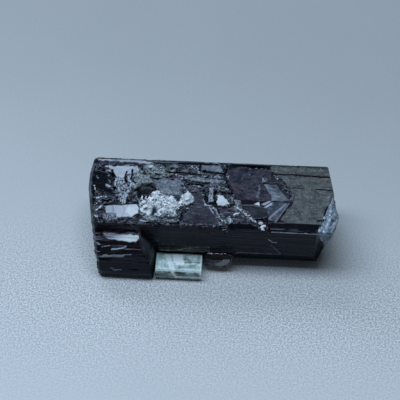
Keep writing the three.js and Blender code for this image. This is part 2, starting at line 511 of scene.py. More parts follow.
def top_relief(x, across):
    """The whole top face: growth plates, etched ground, pits, cracks, stains and painted
    reflections.
    """
    top = TopFace(x, across)
    # Etched ground over the left two thirds, and a satin film over the right third.
    etched = [
        (-15.5, -0.5), (-15.5, 8.6), (-7, 8.9), (1.8, 9.6), (1.5, 6.4), (3.0, 3.9), (5.2, 1.2),
        (5.6, -0.4),
    ]
    top.plate(etched, -0.05, soft=0.3, ragged=0.25, seed=1, etched=0.8)
    film = [
        (6.6, 9.9), (7.3, 8.2), (8.5, 6.9), (9.6, 5.2), (9.6, 4.1), (8.2, 1.6), (9.2, 0.9),
        (9.4, -0.6), (15.5, -0.6), (15.5, 9.9),
    ]
    top.plate(film, 0.02, soft=0.6, ragged=0.25, seed=2, film=1.0)
    left_end_marks(top)
    middle_plates(top)
    growth_hillock(top)
    cracks(top)
    flecks(top)
    return top


def left_end_marks(top):
    """The broken and etched left end, its pale drips, mirror flake and pale slab, all painted
    light as reflections, and its black hollows.
    """
    sunken = [(-15.4, 7.9), (-12.6, 7.4), (-10.6, 6.8), (-9.7, 5.8), (-9.1, 3.3), (-15.4, 3.0)]
    top.plate(sunken, -0.22, soft=0.35, ragged=0.25, seed=3, etched=0.9, dark=0.55)
    smooth = [
        (-14.2, 7.8), (-12.9, 7.6), (-12.5, 5.8), (-11.6, 4.0), (-12.8, 4.5), (-13.9, 4.9),
        (-14.7, 6.2),
    ]
    top.plate(smooth, -0.26, lean=1, soft=0.2, ragged=0.15, seed=4, etched=0.05, dark=0.85)
    pitted = [(-15.4, 5.2), (-13.4, 4.6), (-12.6, 3.2), (-13.0, 0.6), (-13.9, 0.0), (-15.4, 0.0)]
    top.plate(pitted, -0.16, soft=0.3, ragged=0.25, seed=5, etched=0.9, dark=0.6)
    # The drips are painted pale as a reflection of the light.
    drips = [
        (-12.0, 7.0), (-9.6, 7.4), (-9.5, 6.1), (-10.1, 4.2), (-10.4, 3.0), (-11.2, 3.1),
        (-11.4, 4.7), (-12.1, 6.2),
    ]
    top.plate(drips, -0.12, lean=2, soft=0.2, ragged=0.4, seed=6, pale=0.92, etched=1.0, dark=0)
    # The flake is painted pale as a reflection of the light.
    flake = [
        (-12.8, 8.35), (-9.3, 8.5), (-9.0, 7.8), (-9.6, 7.3), (-10.8, 7.1), (-11.1, 6.7),
        (-11.8, 6.8), (-12.3, 7.6),
    ]
    top.plate(flake, -0.02, lean=3, soft=0.08, ragged=0.25, seed=7, pale=1.0, etched=0.2, dark=0)
    back_strip = [(-15, 9.6), (-1.8, 9.6), (-1.8, 9.0), (-7, 8.75), (-14.9, 8.6)]
    top.plate(back_strip, -0.03, lean=1, soft=0.1, ragged=0.08, seed=8, slate=0.5, etched=0.1)
    # A painted highlight along the top face's back edge.
    back_edge_highlight = [
        (-14.5, 9.35), (-9.0, 9.4), (-7.3, 9.05), (-8.2, 8.85), (-10.0, 9.05), (-14.3, 9.1),
    ]
    top.plate(back_edge_highlight, 0.0, lean=1, soft=0.2, ragged=0.12, seed=9, pale=0.92, etched=0.1)
    # The slab and its end are painted pale as a reflection of the light.
    slab = [
        (-12.7, 2.4), (-9.0, 2.8), (-8.6, 2.3), (-8.7, 1.6), (-9.4, 1.0), (-11.2, 0.9),
        (-11.25, 1.4), (-12.6, 1.3),
    ]
    top.plate(slab, 0.03, lean=3, soft=0.07, ragged=0.1, seed=10, pale=0.97, etched=0.12, dark=0)
    slab_end = [(-10.0, 2.7), (-9.0, 2.8), (-8.6, 2.3), (-8.8, 1.5), (-9.5, 1.2), (-10.2, 1.7)]
    top.plate(
        slab_end, 0.05, lean=3, soft=0.3, ragged=0.15, seed=13, pale=1.25, etched=0.3, dark=0
    )
    inset = [(-13.0, 1.35), (-11.3, 1.4), (-11.3, 0.8), (-12.8, 0.35)]
    top.plate(inset, -0.1, lean=2, soft=0.1, ragged=0.1, seed=11, pale=0.6, etched=0.5, dark=0.2)
    corner = [(-10.9, 0.15), (-8.8, 1.0), (-8.5, 1.8), (-7.7, 0.9), (-7.8, 0.15)]
    top.plate(
        corner, -0.18, lean=-3, soft=0.15, ragged=0.08, seed=12, slate=0.8, etched=0.1, pale=0
    )


def middle_plates(top):
    """The feldspar's hollow and the smooth, granular and striated patches around it."""
    gritty = [
        (-9.7, 8.6), (-6.2, 8.7), (-4.6, 8.2), (-5.0, 7.4), (-6.5, 6.9), (-7.9, 5.8),
        (-8.8, 5.4), (-9.8, 5.3),
    ]
    top.plate(gritty, -0.02, soft=0.35, ragged=0.4, seed=20, granular=0.95, etched=1.0, dark=0)
    tuft = [
        (-9.7, 6.5), (-8.7, 7.1), (-8.0, 7.1), (-6.6, 6.9), (-7.7, 6.0), (-8.8, 5.5),
        (-9.6, 5.5),
    ]
    top.plate(tuft, 0.05, soft=0.2, ragged=0.3, seed=21, granular=1.45, etched=0.6)
    bed = [
        (-9.4, 5.0), (-7.3, 5.6), (-6.6, 4.9), (-4.4, 4.4), (-2.6, 4.8), (-2.3, 3.4),
        (-3.6, 2.2), (-3.9, 0.8), (-7.6, 0.6), (-8.6, 1.9), (-8.9, 3.4),
    ]
    top.plate(bed, -0.3, soft=0.2, ragged=0.2, seed=22, etched=1.0, granular=0.7)
    swell = [(-7.5, 6.6), (-5.5, 7.2), (-3.7, 6.4), (-3.5, 4.4), (-5.5, 4.3), (-6.9, 5.3)]
    top.plate(
        swell, -0.06, swing=-2, soft=0.7, ragged=0.5, seed=23, etched=0.5, slate=2.6,
        granular=0.25,
    )
    shaded_pit = [
        (-9.1, 5.1), (-8.5, 5.9), (-7.6, 5.9), (-6.9, 5.2), (-6.9, 4.1), (-7.2, 3.4),
        (-8.4, 3.5), (-8.8, 4.0),
    ]
    # Painted shade: the hollow is made black.
    top.plate(
        shaded_pit, -0.5, soft=0.25, ragged=0.1, seed=24, dark=1.0, pale=0, granular=0, etched=0.1
    )
    for x, end in ((-8.4, 3.5), (-8.0, 3.4), (-7.6, 3.4)):
        fin = [(x, 4.25), (x + 0.06, end)]
        top.line(fin, 0.22, 0.22, seed=int(-10 * x), pale=0.9, dark=0)
    striated = [(-4.9, 8.9), (1.3, 9.4), (1.5, 7.6), (1.2, 5.6), (-2.6, 6.0), (-3.6, 7.0)]
    top.plate(
        striated, -0.03, soft=0.3, ragged=0.25, seed=25, etched=0.75, slate=1.0, granular=0.25
    )
    heart = [
        (-2.3, 4.7), (-1.5, 5.3), (-1.2, 4.0), (0.2, 2.2), (1.1, 0.35), (-3.1, 0.3),
        (-3.4, 1.5), (-2.2, 3.0),
    ]
    top.plate(
        heart, -0.06, lean=1, soft=0.12, ragged=0.1, seed=26, violet=0.75, slate=0.5, etched=0.08
    )
    violet_plate = [(-1.6, 8.9), (1.0, 9.1), (1.2, 8.5), (0.7, 8.0), (-1.6, 8.35)]
    top.plate(
        violet_plate, 0.03, lean=2, soft=0.1, ragged=0.08, seed=27, violet=0.5, slate=2.6,
        pale=0.46, etched=0.1, granular=0,
    )
    shield = [
        (1.6, 8.4), (3.1, 9.1), (4.9, 9.2), (6.4, 8.7), (5.8, 7.7), (5.9, 6.6), (5.3, 5.6),
        (5.2, 4.1), (2.9, 4.2), (2.6, 5.2), (1.6, 7.2),
    ]
    top.plate(shield, 0.0, soft=0.15, ragged=0.1, seed=28, violet=1, etched=0.03, slate=0)
    wedge = [(3.6, 3.4), (4.9, 3.5), (6.6, 3.1), (6.7, 2.0), (5.7, 1.5), (5.2, 1.4)]
    top.plate(wedge, -0.02, soft=0.1, ragged=0.06, seed=29, slate=1.15, etched=0.02, violet=0)
    hollow = [(5.3, 1.5), (6.2, 1.5), (6.4, 0.9), (5.5, 0.9)]
    top.plate(hollow, -0.25, soft=0.12, ragged=0.08, seed=34, dark=1, etched=0.2, slate=0)
    slope = [(1.1, 2.5), (2.6, 3.0), (4.3, 1.6), (4.9, 0.5), (2.9, 0.4), (1.8, 1.0)]
    top.plate(slope, -0.08, lean=1, soft=0.15, ragged=0.1, seed=30, slate=0.8, etched=0.2)
    roof = [(0.5, 7.8), (0.9, 7.5), (1.3, 6.8), (0.0, 6.6), (-0.9, 6.7), (-0.2, 7.2)]
    top.plate(
        roof, 0.02, lean=1, soft=0.15, ragged=0.2, seed=35, slate=3.2, etched=0.35, pale=0.3
    )
    bite = [(2.3, 0.7), (3.2, 0.95), (4.9, 0.85), (5.5, 0.5), (5.5, -0.3), (2.0, -0.3)]
    top.plate(
        bite, -0.2, lean=20, soft=0.2, ragged=0.12, seed=36, dark=1.0, etched=0.1, pale=0,
        slate=0, granular=0,
    )
    cluster = [(1.8, 1.3), (2.2, 1.7), (2.6, 1.4), (2.7, 0.9), (2.1, 0.6)]
    top.plate(cluster, 0.05, soft=0.15, ragged=0.3, seed=37, pale=1.0, etched=0.9, dark=0)
    chip = [(0.5, 4.65), (1.3, 4.7), (1.6, 4.2), (2.2, 3.5), (1.3, 3.0), (0.6, 3.1)]
    top.plate(chip, 0.1, lean=1, soft=0.07, ragged=0.16, seed=31, pale=1.2, etched=0.1, slate=0)
    bar = [(-0.5, 5.75), (0.1, 5.8), (0.15, 3.6), (-0.45, 3.6)]
    top.plate(
        bar, 0.06, lean=1, soft=0.1, ragged=0.1, seed=32, pale=0.85, violet=0.6, etched=0.6
    )
    blob = [(-3.7, 3.5), (-3.5, 4.6), (-2.9, 5.2), (-2.3, 4.4), (-2.2, 3.5), (-2.9, 3.0)]
    top.plate(blob, 0.06, soft=0.1, ragged=0.25, seed=33, pale=1.15, etched=0.5, granular=0)


def growth_hillock(top):
    """A low growth hillock with its point to the right: flat glassy facets with light edges."""
    flank = [(6.2, 9.2), (7.4, 8.2), (8.5, 6.9), (9.6, 5.2), (9.5, 4.1), (7.4, 4.1), (5.9, 6.6)]
    top.plate(
        flank, 0.02, soft=0.12, ragged=0.1, seed=40, slate=0.7, violet=0.3, film=0, etched=0.12
    )
    rim = [(6.2, 9.4), (7.1, 8.1), (8.4, 6.9), (9.3, 5.4), (9.4, 4.3)]
    top.line(rim, 0.7, -0.06, ragged=0.15, seed=41, etched=0.9, dark=0.5, film=0.2, granular=0.5)
    facet = [(6.0, 6.5), (7.6, 6.5), (9.1, 4.3), (7.1, 4.1), (7.0, 5.1)]
    top.plate(facet, 0.1, lean=1, swing=3, soft=0.06, ragged=0.03, seed=42, slate=2.6, violet=0)
    sliver = [(6.0, 6.5), (6.5, 6.5), (7.7, 5.3), (7.5, 4.2), (7.1, 4.1), (7.0, 5.1)]
    top.plate(
        sliver, 0.09, lean=2, swing=-2, soft=0.05, ragged=0.03, seed=43, slate=3.4, pale=0.3
    )
    inner = [(5.4, 5.8), (6.0, 6.45), (7.0, 5.1), (7.05, 4.2), (5.2, 4.15)]
    top.plate(
        inner, 0.0, lean=1, swing=-2, soft=0.08, ragged=0.04, seed=44, violet=1.3, dark=0.15
    )
    lower = [(7.1, 4.05), (9.3, 4.0), (7.7, 1.1), (6.8, 1.5), (6.6, 3.0)]
    top.plate(
        lower, 0.05, lean=2, swing=2, soft=0.08, ragged=0.04, seed=45, slate=2.0, violet=0.1,
        film=0, etched=0.05,
    )
    for band, width in (([(8.8, 3.8), (6.9, 1.7)], 0.34), ([(9.2, 3.9), (7.6, 1.2)], 0.2)):
        top.line(band, width, 0.03, ragged=0.03, seed=46, pale=0.55)
    first = [(5.0, 3.6), (5.6, 3.98), (5.7, 3.35)]
    top.plate(first, 0.05, lean=4, soft=0.05, ragged=0.03, seed=47, pale=1.15)
    second = [(5.8, 3.6), (6.8, 4.15), (7.1, 4.05), (6.3, 3.5)]
    top.plate(second, 0.04, lean=3, soft=0.05, ragged=0.04, seed=48, pale=0.85)
    third = [(6.2, 3.25), (7.1, 3.9), (7.2, 3.7), (6.5, 3.15)]
    top.plate(third, 0.04, lean=4, soft=0.05, ragged=0.03, seed=49, pale=0.95)
    spike = [(5.8, 7.8), (6.4, 6.95), (5.8, 6.85)]
    top.plate(spike, 0.03, lean=2, soft=0.06, ragged=0.05, seed=50, pale=0.6)


# Cracks: points on the top face as (x, across), then the width and the depth.
CRACKS = [
    ([(7.4, 8.12), (10.2, 8.1), (13.9, 8.0)], 0.26, 0.14),
    ([(8.6, 6.25), (11.0, 6.2)], 0.14, 0.04),
    ([(12.4, 6.2), (14.3, 6.1)], 0.18, 0.07),
    ([(-5.7, 7.8), (-3.1, 7.7), (-1.6, 7.6)], 0.3, 0.25),
    ([(-3.1, 6.1), (-2.2, 6.2), (-1.2, 6.0)], 0.24, 0.2),
    ([(-2.6, 6.6), (-1.6, 6.45)], 0.16, 0.12),
    ([(-1.75, 8.9), (-1.7, 8.2), (0.0, 7.95), (1.2, 7.9)], 0.3, 0.22),
    ([(-1.0, 7.2), (1.3, 7.0)], 0.2, 0.16),
    ([(-4.3, 9.1), (1.4, 9.35)], 0.2, 0.14),
    ([(1.5, 8.9), (1.3, 7.6), (1.8, 6.2), (2.7, 4.4)], 0.17, 0.12),
    ([(1.5, 6.1), (1.8, 5.9)], 0.4, 0.2),
    ([(0.9, 8.9), (1.4, 8.2)], 0.4, 0.2),
    ([(0.2, 5.05), (1.2, 5.1), (2.4, 5.0)], 0.28, 0.16),
    ([(5.4, 6.65), (6.5, 6.62), (7.6, 6.75), (8.3, 6.5)], 0.15, 0.08),
    ([(7.1, 4.1), (9.4, 4.05)], 0.13, 0.08),
    ([(8.7, 6.0), (9.3, 5.0)], 0.3, 0.12),
    ([(2.0, 9.2), (6.3, 9.25)], 0.4, 0.12),
    ([(4.2, 9.05), (6.4, 8.95)], 0.5, 0.2),
    ([(-3.2, 2.6), (-3.8, 0.5)], 0.3, 0.22),
    ([(13.7, 3.6), (13.4, 2.4), (13.3, 1.7), (12.6, 1.55)], 0.22, 0.15),
    ([(0.3, 5.2), (0.35, 3.2), (0.9, 2.2)], 0.26, 0.16),
    ([(-1.1, 5.4), (-0.7, 4.2), (-0.6, 3.4)], 0.22, 0.14),
    ([(0.5, 2.95), (1.9, 3.0), (2.7, 3.6)], 0.2, 0.14),
    ([(-12.2, 7.4), (-12.0, 6.6), (-12.3, 5.6)], 0.2, 0.12),
    ([(-10.6, 7.6), (-10.7, 6.6), (-10.2, 5.6)], 0.2, 0.14),
    ([(-9.9, 7.9), (-9.9, 6.6), (-9.4, 5.9)], 0.24, 0.14),
    ([(-7.5, 6.85), (-6.7, 6.7)], 0.3, 0.15),
    ([(-5.6, 6.95), (-4.9, 6.75)], 0.34, 0.12),
    ([(-7.0, 7.5), (-6.5, 7.35)], 0.25, 0.15),
    ([(-9.0, 8.6), (-8.5, 7.7), (-8.3, 7.3)], 0.25, 0.12),
    ([(-12.9, 2.65), (-9.0, 3.0), (-8.6, 2.4)], 0.24, 0.12),
]


def cracks(top):
    """Dark cracks, most of them along the crystal."""
    for seed, (points, width, depth) in enumerate(CRACKS):
        top.line(points, width, -depth, seed=60 + seed, dark=1.0, pale=0.0, film=0.3, granular=0)


# Light flecks and thin fins on the top face: their points, their width and how pale they are.
FLECKS = [
    # The flecks at the left end, between x -14.3 and -12.6, are painted glints.
    ([(-14.2, 6.9), (-13.9, 6.6)], 0.14, 0.6),
    ([(-14.3, 5.5), (-14.1, 4.8)], 0.26, 1.0),
    ([(-12.9, 5.7), (-12.1, 5.2)], 0.36, 0.66),
    ([(-14.1, 3.6), (-12.7, 3.9)], 0.34, 0.95),
    ([(-14.2, 2.6), (-13.7, 2.8)], 0.2, 0.8),
    ([(-13.7, 1.9), (-13.1, 2.5)], 0.42, 0.95),
    ([(-14.2, 1.4), (-13.6, 0.9)], 0.42, 1.0),
    ([(-14.3, 2.2), (-13.9, 2.1)], 0.26, 0.9),
    ([(-13.9, 3.0), (-13.2, 3.1)], 0.24, 0.9),
    ([(-13.3, 0.3), (-13.2, 0.1)], 0.2, 0.9),
    ([(-12.3, 3.2), (-11.7, 3.45)], 0.18, 0.7),
    ([(-13.0, 2.75), (-12.7, 2.9)], 0.14, 0.8),
    ([(-13.1, 7.7), (-12.6, 7.6)], 0.3, 0.8),
    ([(-8.2, 8.3), (-7.5, 8.4)], 0.36, 1.1),
    ([(-7.0, 8.0), (-6.7, 8.1)], 0.26, 1.0),
    ([(-8.75, 7.5), (-8.65, 7.65)], 0.2, 1.2),
    ([(-4.6, 7.45), (-3.4, 7.15)], 0.24, 0.95),
    ([(-4.9, 8.3), (-4.0, 8.75)], 0.2, 0.65),
    ([(-2.9, 8.8), (-2.3, 8.4)], 0.2, 0.75),
    ([(-2.2, 8.7), (-1.9, 8.4)], 0.22, 0.8),
    ([(-1.2, 4.6), (-0.9, 3.5)], 0.14, 0.75),
    ([(-0.8, 3.25), (-0.1, 3.2)], 0.42, 1.0),
    ([(-0.3, 2.9), (0.25, 2.1)], 0.16, 0.9),
    ([(-3.7, 6.2), (-3.1, 5.1)], 0.16, 0.8),
    ([(-8.4, 0.65), (-7.6, 0.5)], 0.3, 0.75),
    ([(-6.6, 0.4), (-4.7, 0.5)], 0.12, 0.5),
    ([(-12.6, 0.25), (-11.9, 0.35)], 0.14, 0.7),
    ([(-10.6, 0.3), (-10.1, 0.45)], 0.14, 0.7),
    ([(1.8, 7.6), (1.7, 7.3)], 0.14, 0.8),
    ([(-0.8, 7.0), (0.2, 7.3), (0.6, 6.8)], 0.3, 0.6),
    ([(0.45, 2.8), (0.7, 2.0), (1.2, 1.2), (1.8, 0.7)], 0.26, 0.95),
    ([(2.7, 2.0), (3.0, 2.2)], 0.36, 0.9),
    ([(5.0, 9.0), (5.15, 9.05)], 0.14, 0.9),
    ([(5.6, 9.0), (5.75, 8.95)], 0.12, 0.9),
    ([(3.0, 3.0), (3.5, 2.65), (4.1, 2.1)], 0.34, 0.9),
    ([(4.0, 2.1), (4.6, 1.6), (5.3, 1.1)], 0.3, 1.1),
    ([(3.1, 2.1), (3.3, 2.35)], 0.2, 0.9),
    ([(7.0, 0.7), (7.4, 1.05)], 0.18, 0.75),
    ([(4.4, 8.7), (4.3, 8.0)], 0.4, 0.3),
    ([(8.9, 5.8), (9.1, 5.4)], 0.12, 0.8),
    ([(8.7, 7.7), (9.1, 7.4)], 0.12, 0.7),
    ([(7.6, 7.5), (7.85, 7.35)], 0.2, 1.1),
    ([(12.1, 9.0), (12.3, 8.9)], 0.16, 0.5),
    ([(12.8, 9.1), (13.3, 8.85)], 0.16, 0.42),
    ([(14.0, 5.4), (13.8, 4.8), (13.8, 4.1)], 0.7, 0.36),
    ([(-11.9, 2.45), (-11.7, 1.9), (-11.8, 1.3)], 0.16, 0.6),
    ([(-10.7, 2.6), (-10.4, 1.9), (-10.6, 1.0)], 0.14, 0.7),
    ([(2.8, 4.0), (3.4, 3.9)], 0.14, 0.7),
    ([(5.6, 6.1), (5.35, 4.9)], 0.6, 0.36),
    ([(7.2, 8.0), (7.5, 7.7)], 0.16, 0.9),
    ([(2.4, 5.0), (2.6, 4.5)], 0.12, 0.7),
    ([(1.0, 5.5), (1.5, 5.3)], 0.14, 0.8),
    ([(6.9, 1.0), (7.6, 0.9)], 0.2, 0.6),
]


def flecks(top):
    """Small light flecks and fins."""
    for seed, (points, width, pale) in enumerate(FLECKS):
        top.line(points, width, 0.05, seed=100 + seed, pale=pale * 1.25, dark=0, slate=0.3)


# Light lines low on the front face, and on the side prism, as (x, z): points, width and paleness.
FRONT_LINES = [
    ([(6.9, 4.9), (7.4, 4.45), (7.9, 4.46)], 0.18, 0.95),
    ([(7.2, 3.9), (7.7, 3.4), (8.4, 2.5)], 0.16, 0.7),
    # Painted highlights along the foot edge of the front face.
    ([(3.1, 2.36), (8.4, 2.34)], 0.16, 0.62),
    ([(8.8, 2.34), (12.2, 2.34)], 0.14, 0.45),
    ([(7.2, 6.18), (12.6, 6.2)], 0.16, 0.8),
    ([(1.4, 6.2), (1.9, 6.4)], 0.2, 0.9),
    ([(1.9, 5.95), (2.0, 6.0)], 0.16, 0.8),
    ([(-5.7, 3.25), (-5.6, 3.2)], 0.1, 0.9),
    ([(-4.5, 3.4), (-4.4, 3.37)], 0.1, 0.9),
    ([(-5.9, 2.6), (-5.6, 2.55)], 0.1, 0.8),
    ([(-5.2, 2.5), (-5.0, 2.55)], 0.1, 0.8),
    ([(-6.2, 2.44), (-5.4, 2.4), (-4.1, 2.42)], 0.16, 1.0),
    ([(-3.9, 2.5), (-3.3, 2.75)], 0.14, 0.8),
    ([(-6.3, 3.9), (-6.2, 3.85)], 0.14, 0.9),
    ([(-3.2, 2.75), (-2.3, 2.9)], 0.16, 0.7),
    ([(-2.3, 3.0), (-0.3, 3.1)], 0.14, 0.55),
    ([(-0.3, 3.02), (-0.2, 3.05)], 0.12, 0.9),
    ([(0.2, 3.7), (1.6, 3.75)], 0.06, 0.35),
    ([(-3.0, 5.4), (-1.2, 5.5)], 0.07, 0.3),
]
SIDE_LINES = [
    ([(-11.6, 4.15), (-10.9, 4.2), (-9.9, 4.4)], 0.2, 0.9),
    ([(-12.9, 3.3), (-12.3, 3.4), (-9.3, 3.68)], 0.22, 0.95),
    ([(-12.6, 3.42), (-12.2, 3.5)], 0.4, 0.85),
    ([(-13.4, 2.5), (-12.7, 2.49)], 0.18, 0.95),
    ([(-11.8, 1.6), (-10.5, 1.48)], 0.3, 0.6),
    ([(-13.2, 0.3), (-9.7, 0.46)], 0.1, 0.3),
    ([(-9.6, 2.6), (-9.3, 2.5)], 0.14, 0.45),
    ([(-13.4, 4.6), (-13.1, 4.5)], 0.2, 0.8),
    ([(-13.5, 3.9), (-13.0, 3.85)], 0.16, 0.7),
    ([(-10.4, 2.9), (-9.4, 3.0)], 0.12, 0.5),
    ([(-12.2, 2.0), (-11.2, 2.1)], 0.14, 0.4),
    ([(-12.4, 3.0), (-10.8, 3.1)], 0.1, 0.4),
    ([(-13.5, 3.2), (-12.4, 3.25), (-10.2, 3.42)], 0.3, 0.6),
    ([(-12.8, 4.3), (-11.9, 4.42)], 0.2, 0.6),
    ([(-11.5, 1.3), (-10.9, 1.2)], 0.3, 0.45),
    ([(-12.9, 1.0), (-12.2, 0.95)], 0.2, 0.35),
]
SHELF = [(-12.9, 0.3), (-8.5, 0.42), (-8.45, 0.8), (-8.7, 1.2), (-9.6, 1.3), (-12.3, 1.0)]


def front_marks(x, y, z, on_side):
    """Light lines on the front and the side prism, and the painted highlight on the side prism's
    upper shelf, brighter to the right.
    """
    plain = (y < 0.35) * (z < 6.5) * (1 - on_side)
    pale = np.zeros(x.shape)
    for lines, where in ((FRONT_LINES, plain), (SIDE_LINES, on_side)):
        for seed, (points, width, strength) in enumerate(lines):
            mask = near_line(x, z, points, width, 0.04, 200 + seed) * where * strength
            pale = np.maximum(pale, mask)
    lit_shelf = inside(x, -y, SHELF, 0.1, 0.12, 220) * on_side * (z > 4.5)
    lit_shelf = lit_shelf * (0.55 + 0.5 * ease((x + 11.8) / 2.4))
    return pale, lit_shelf


BEVEL_AT = (6.6, 0, FRONT_TOP - 0.38)  # on the narrow face along the front edge's right half
BEVEL_FACING = (0, -0.446, 0.895)


def planed(points, x, at, normal):
    """Draws the section points that lie beyond a plane in towards the heart, onto the plane."""
    solid = np.dstack([x, points])
    centre = np.dstack([x, np.broadcast_to(HEART, points.shape)])
    reach = (solid - centre) @ np.array(normal)
    room = (np.array(at) - centre) @ np.array(normal)
    share = np.where(reach > room, room / np.maximum(reach, 1e-6), 1.0).clip(0, 1)
    return centre[..., 1:] + (points - centre[..., 1:]) * share[..., None], share < 0.998


def outward(section):
    """The way out of a closed section at each of its points."""
    along = np.roll(section, -1, axis=0) - np.roll(section, 1, axis=0)
    return np.stack([along[:, 1], -along[:, 0]], axis=1)


def swept_sections():
    """x and (y, z) of every point of the plain crystal, the way out there, and a share that goes
    from 0 on the side prism to 1 where it has broken off."""
    alone, joined = crystal_sections()
    left = left_end(joined[:, 0], joined[:, 1])
    right = right_end(alone[:, 0], alone[:, 1])
    x = left + (right - left) * np.linspace(0, 1, STATIONS)[:, None]
    side = side_end(joined[:, 0], joined[:, 1])
    span = np.maximum(side_end(alone[:, 0], alone[:, 1]) - side, 0.15)
    past_side = np.clip((x - side) / span, 0, 1)
    share = past_side[..., None]
    out = outward(joined) * (1 - share) + outward(alone) * share
    out /= np.maximum(np.linalg.norm(out, axis=2, keepdims=True), 1e-9)
    return x, joined * (1 - share) + alone * share, out, past_side


def front_edge(points, x, y, z):
    """Cuts the narrow face along the right half of the front edge, and chips the left half."""
    bevel, cut = planed(points, x, BEVEL_AT, BEVEL_FACING)
    start = ease((x - 6.8 - 0.25 * hills(z * 4, x * 3, 51)) / 0.3)
    points = points * (1 - start[..., None]) + bevel * start[..., None]
    chips = 0.05 + 0.22 * ease((rough_hills(x * 1.6, z * 2.0 + y, 52) + 0.1) / 0.35)
    chips *= 1 - ease((x - 6.4) / 0.5)
    near = 1 - ease(np.hypot(y, z - FRONT_TOP) / 0.45)
    return points + (near * chips)[..., None] * np.array([0.5, -0.6]), cut * start


def worn_left_edge(points, x, y):
    """Wears the left end's edge away: the points, the worn strip and the light painted on it."""
    from_end = x - x[0]
    gap = points - HEART
    worn = 0.3 * (1 - ease(from_end / 0.38)) * (1 - 0.6 * ease((points[..., 0] - 5.5) / 3))
    points = HEART + gap * (1 - worn / np.linalg.norm(gap, axis=2))[..., None]
    strip = 1 - ease((from_end - 0.25) / 0.15)
    painted_edge_light = 1.9 + hills(points[..., 0] * 1.1, points[..., 1] * 1.1, 54)
    return points, strip, painted_edge_light * (1 - 0.7 * (y > 8.6))


def back_marks(x, z):
    """The back's weathered patches, and the etched bands between its ribs."""
    film = ease((rough_hills(x * 0.22, z * 0.5, 55) - 0.02) / 0.3)
    etched = ease((rough_hills(x * 0.3, z * 0.9 + 7, 56) - 0.12) / 0.25)
    stain = ease((hills(x * 0.9, z * 3.5, 57) - 0.55) / 0.2) * etched
    return {"film": 0.55 * film, "etched": 0.35 * etched, "pale": 0.8 * stain}


def dark_crystal():
    """The main prism, the side prism and the spur: x, (y, z) and the masks of their surface."""
    x, points, out, past_side = swept_sections()
    y, z = points[..., 0], points[..., 1]
    column = np.broadcast_to(np.arange(x.shape[1]), x.shape)
    on_top = slice(TOP_FIRST, TOP_LAST)
    masks = {name: np.zeros(x.shape) for name in TopFace.CHANNELS}

    # The top face, calm near its edges.
    across = TOP_WIDTH * (1 - np.arange(TOP_COUNT) / TOP_COUNT)
    top = top_relief(x[:, on_top], np.broadcast_to(across, (STATIONS, TOP_COUNT)))
    inner = ease(across / 0.12) * ease((TOP_WIDTH - across) / 0.12)
    from_left = ease((x[:, on_top] - x[0, on_top] - 0.2) / 0.5)
    relief = np.zeros(x.shape)
    relief[:, on_top] = top.height * inner * from_left
    for name, mask in top.marks.items():
        masks[name][:, on_top] = mask * from_left

    # The spur: a broken ledge along the foot of the front face.
    spur = ease((x + 6.5) / 0.3) * ease((3.2 - x - 0.7 * (z - 2.3)) / 0.4)
    ledge = np.exp(-(((z - 2.55) / 0.42) ** 2)) * (y < 0.7) * past_side
    relief += 0.3 * spur * ledge * (0.75 + 0.25 * hills(x * 2.0, z * 3.0, 50))
    points = points + out * relief[..., None]

    points, bevel = front_edge(points, x, y, z)
    points, strip, painted_edge_light = worn_left_edge(points, x, y)
    # Painted light on the worn strip at the left end, less on its top back part.
    masks["slate"] = np.maximum(masks["slate"] * (1 - strip), painted_edge_light * strip)

    # Ribs all round, but hardly any on the top face and none on the underside.
    ribbed = (column >= RIBS_FIRST) * (points[..., 1] > 0.25) * 1.0
    faint = 0.03 + 0.05 * masks["film"] + 0.2 * masks["etched"]
    masks["ribbed"] = np.where((column >= TOP_FIRST) & (column < TOP_LAST), faint, ribbed)
    back = (column < TOP_FIRST) * (y > 6)
    for name, mask in back_marks(x, z).items():
        masks[name] = np.where(back, mask, masks[name])

    # The bevel is plain and dark. The foot of the front face, an undercut, is painted dark as
    # shade.
    for name in ("film", "slate", "etched", "violet", "pale"):
        masks[name] = masks[name] * (1 - bevel * 0.92)
    masks["dark"] = np.maximum(masks["dark"], 0.7 * bevel)
    masks["side"] = (1 - past_side) * (y < 0.05) * (z < 5.3)
    light, masks["lit_shelf"] = front_marks(x, points[..., 0], points[..., 1], masks["side"])
    masks["pale"] = np.maximum(masks["pale"], light)
    # Painted shade on the undercut below the front face's foot edge, kept off its light lines.
    undercut_shade = (y < 1.5) * (z < FRONT_FOOT + 0.1)
    masks["dark"] = np.maximum(masks["dark"], undercut_shade * 0.9 * (1 - np.clip(light * 3, 0, 1)))
    masks["spur"] = spur * np.exp(-(((z - 2.5) / 0.5) ** 2)) * (y < 0.7) * (x < -0.1)
    masks["spur"] = masks["spur"] * (0.25 + 0.75 * ease(x + 4.2))
    masks["broken"] = ease(past_side * (1 - past_side) / 0.02) * (y < 0.3)
    # Painted sheen: the broken faces are lightened to a bluish grey.
    masks["slate"] = np.maximum(masks["slate"], masks["broken"] * 1.5)

    alone, _ = crystal_sections()
    lengths = np.linalg.norm(np.diff(alone, axis=0), axis=1)
    masks["around"] = np.broadcast_to(np.append(0, np.cumsum(lengths)), x.shape)
    return x, points, masks


def tube_faces(rows, columns):
    """Faces between the rows of a closed tube, and a fan at each end to a pole after the rows."""
    faces = []
    for row in range(rows - 1):
        for k in range(columns):
            a, b = row * columns + k, row * columns + (k + 1) % columns
            faces.append([a + columns, b + columns, b, a])
    last, pole = (rows - 1) * columns, rows * columns
    for k in range(columns):
        n = (k + 1) % columns
        faces.append([k, n, pole])
        faces.append([last + n, last + k, pole + 1])
    return faces


def cap_rings(rim, outwards, seed):
    """The rings that close a broken end, from its rim inwards, with shallow dents."""
    middle = np.array([0, *HEART])
    rings = []
    for ring in range(1, CAP_RINGS + 1):
        keep = 1 - ring / (CAP_RINGS + 1)
        inner = middle + (rim - middle) * keep
        level = np.mean(rim[:, 0]) * (1 - keep) + rim[:, 0] * keep
        dent = rough_hills(inner[:, 1] * 0.8, inner[:, 2] * 0.8, seed)
        inner[:, 0] = level + outwards * (0.28 * dent * ease((1 - keep) / 0.25) - 0.1)
        rings.append(inner)
    return np.array(rings)


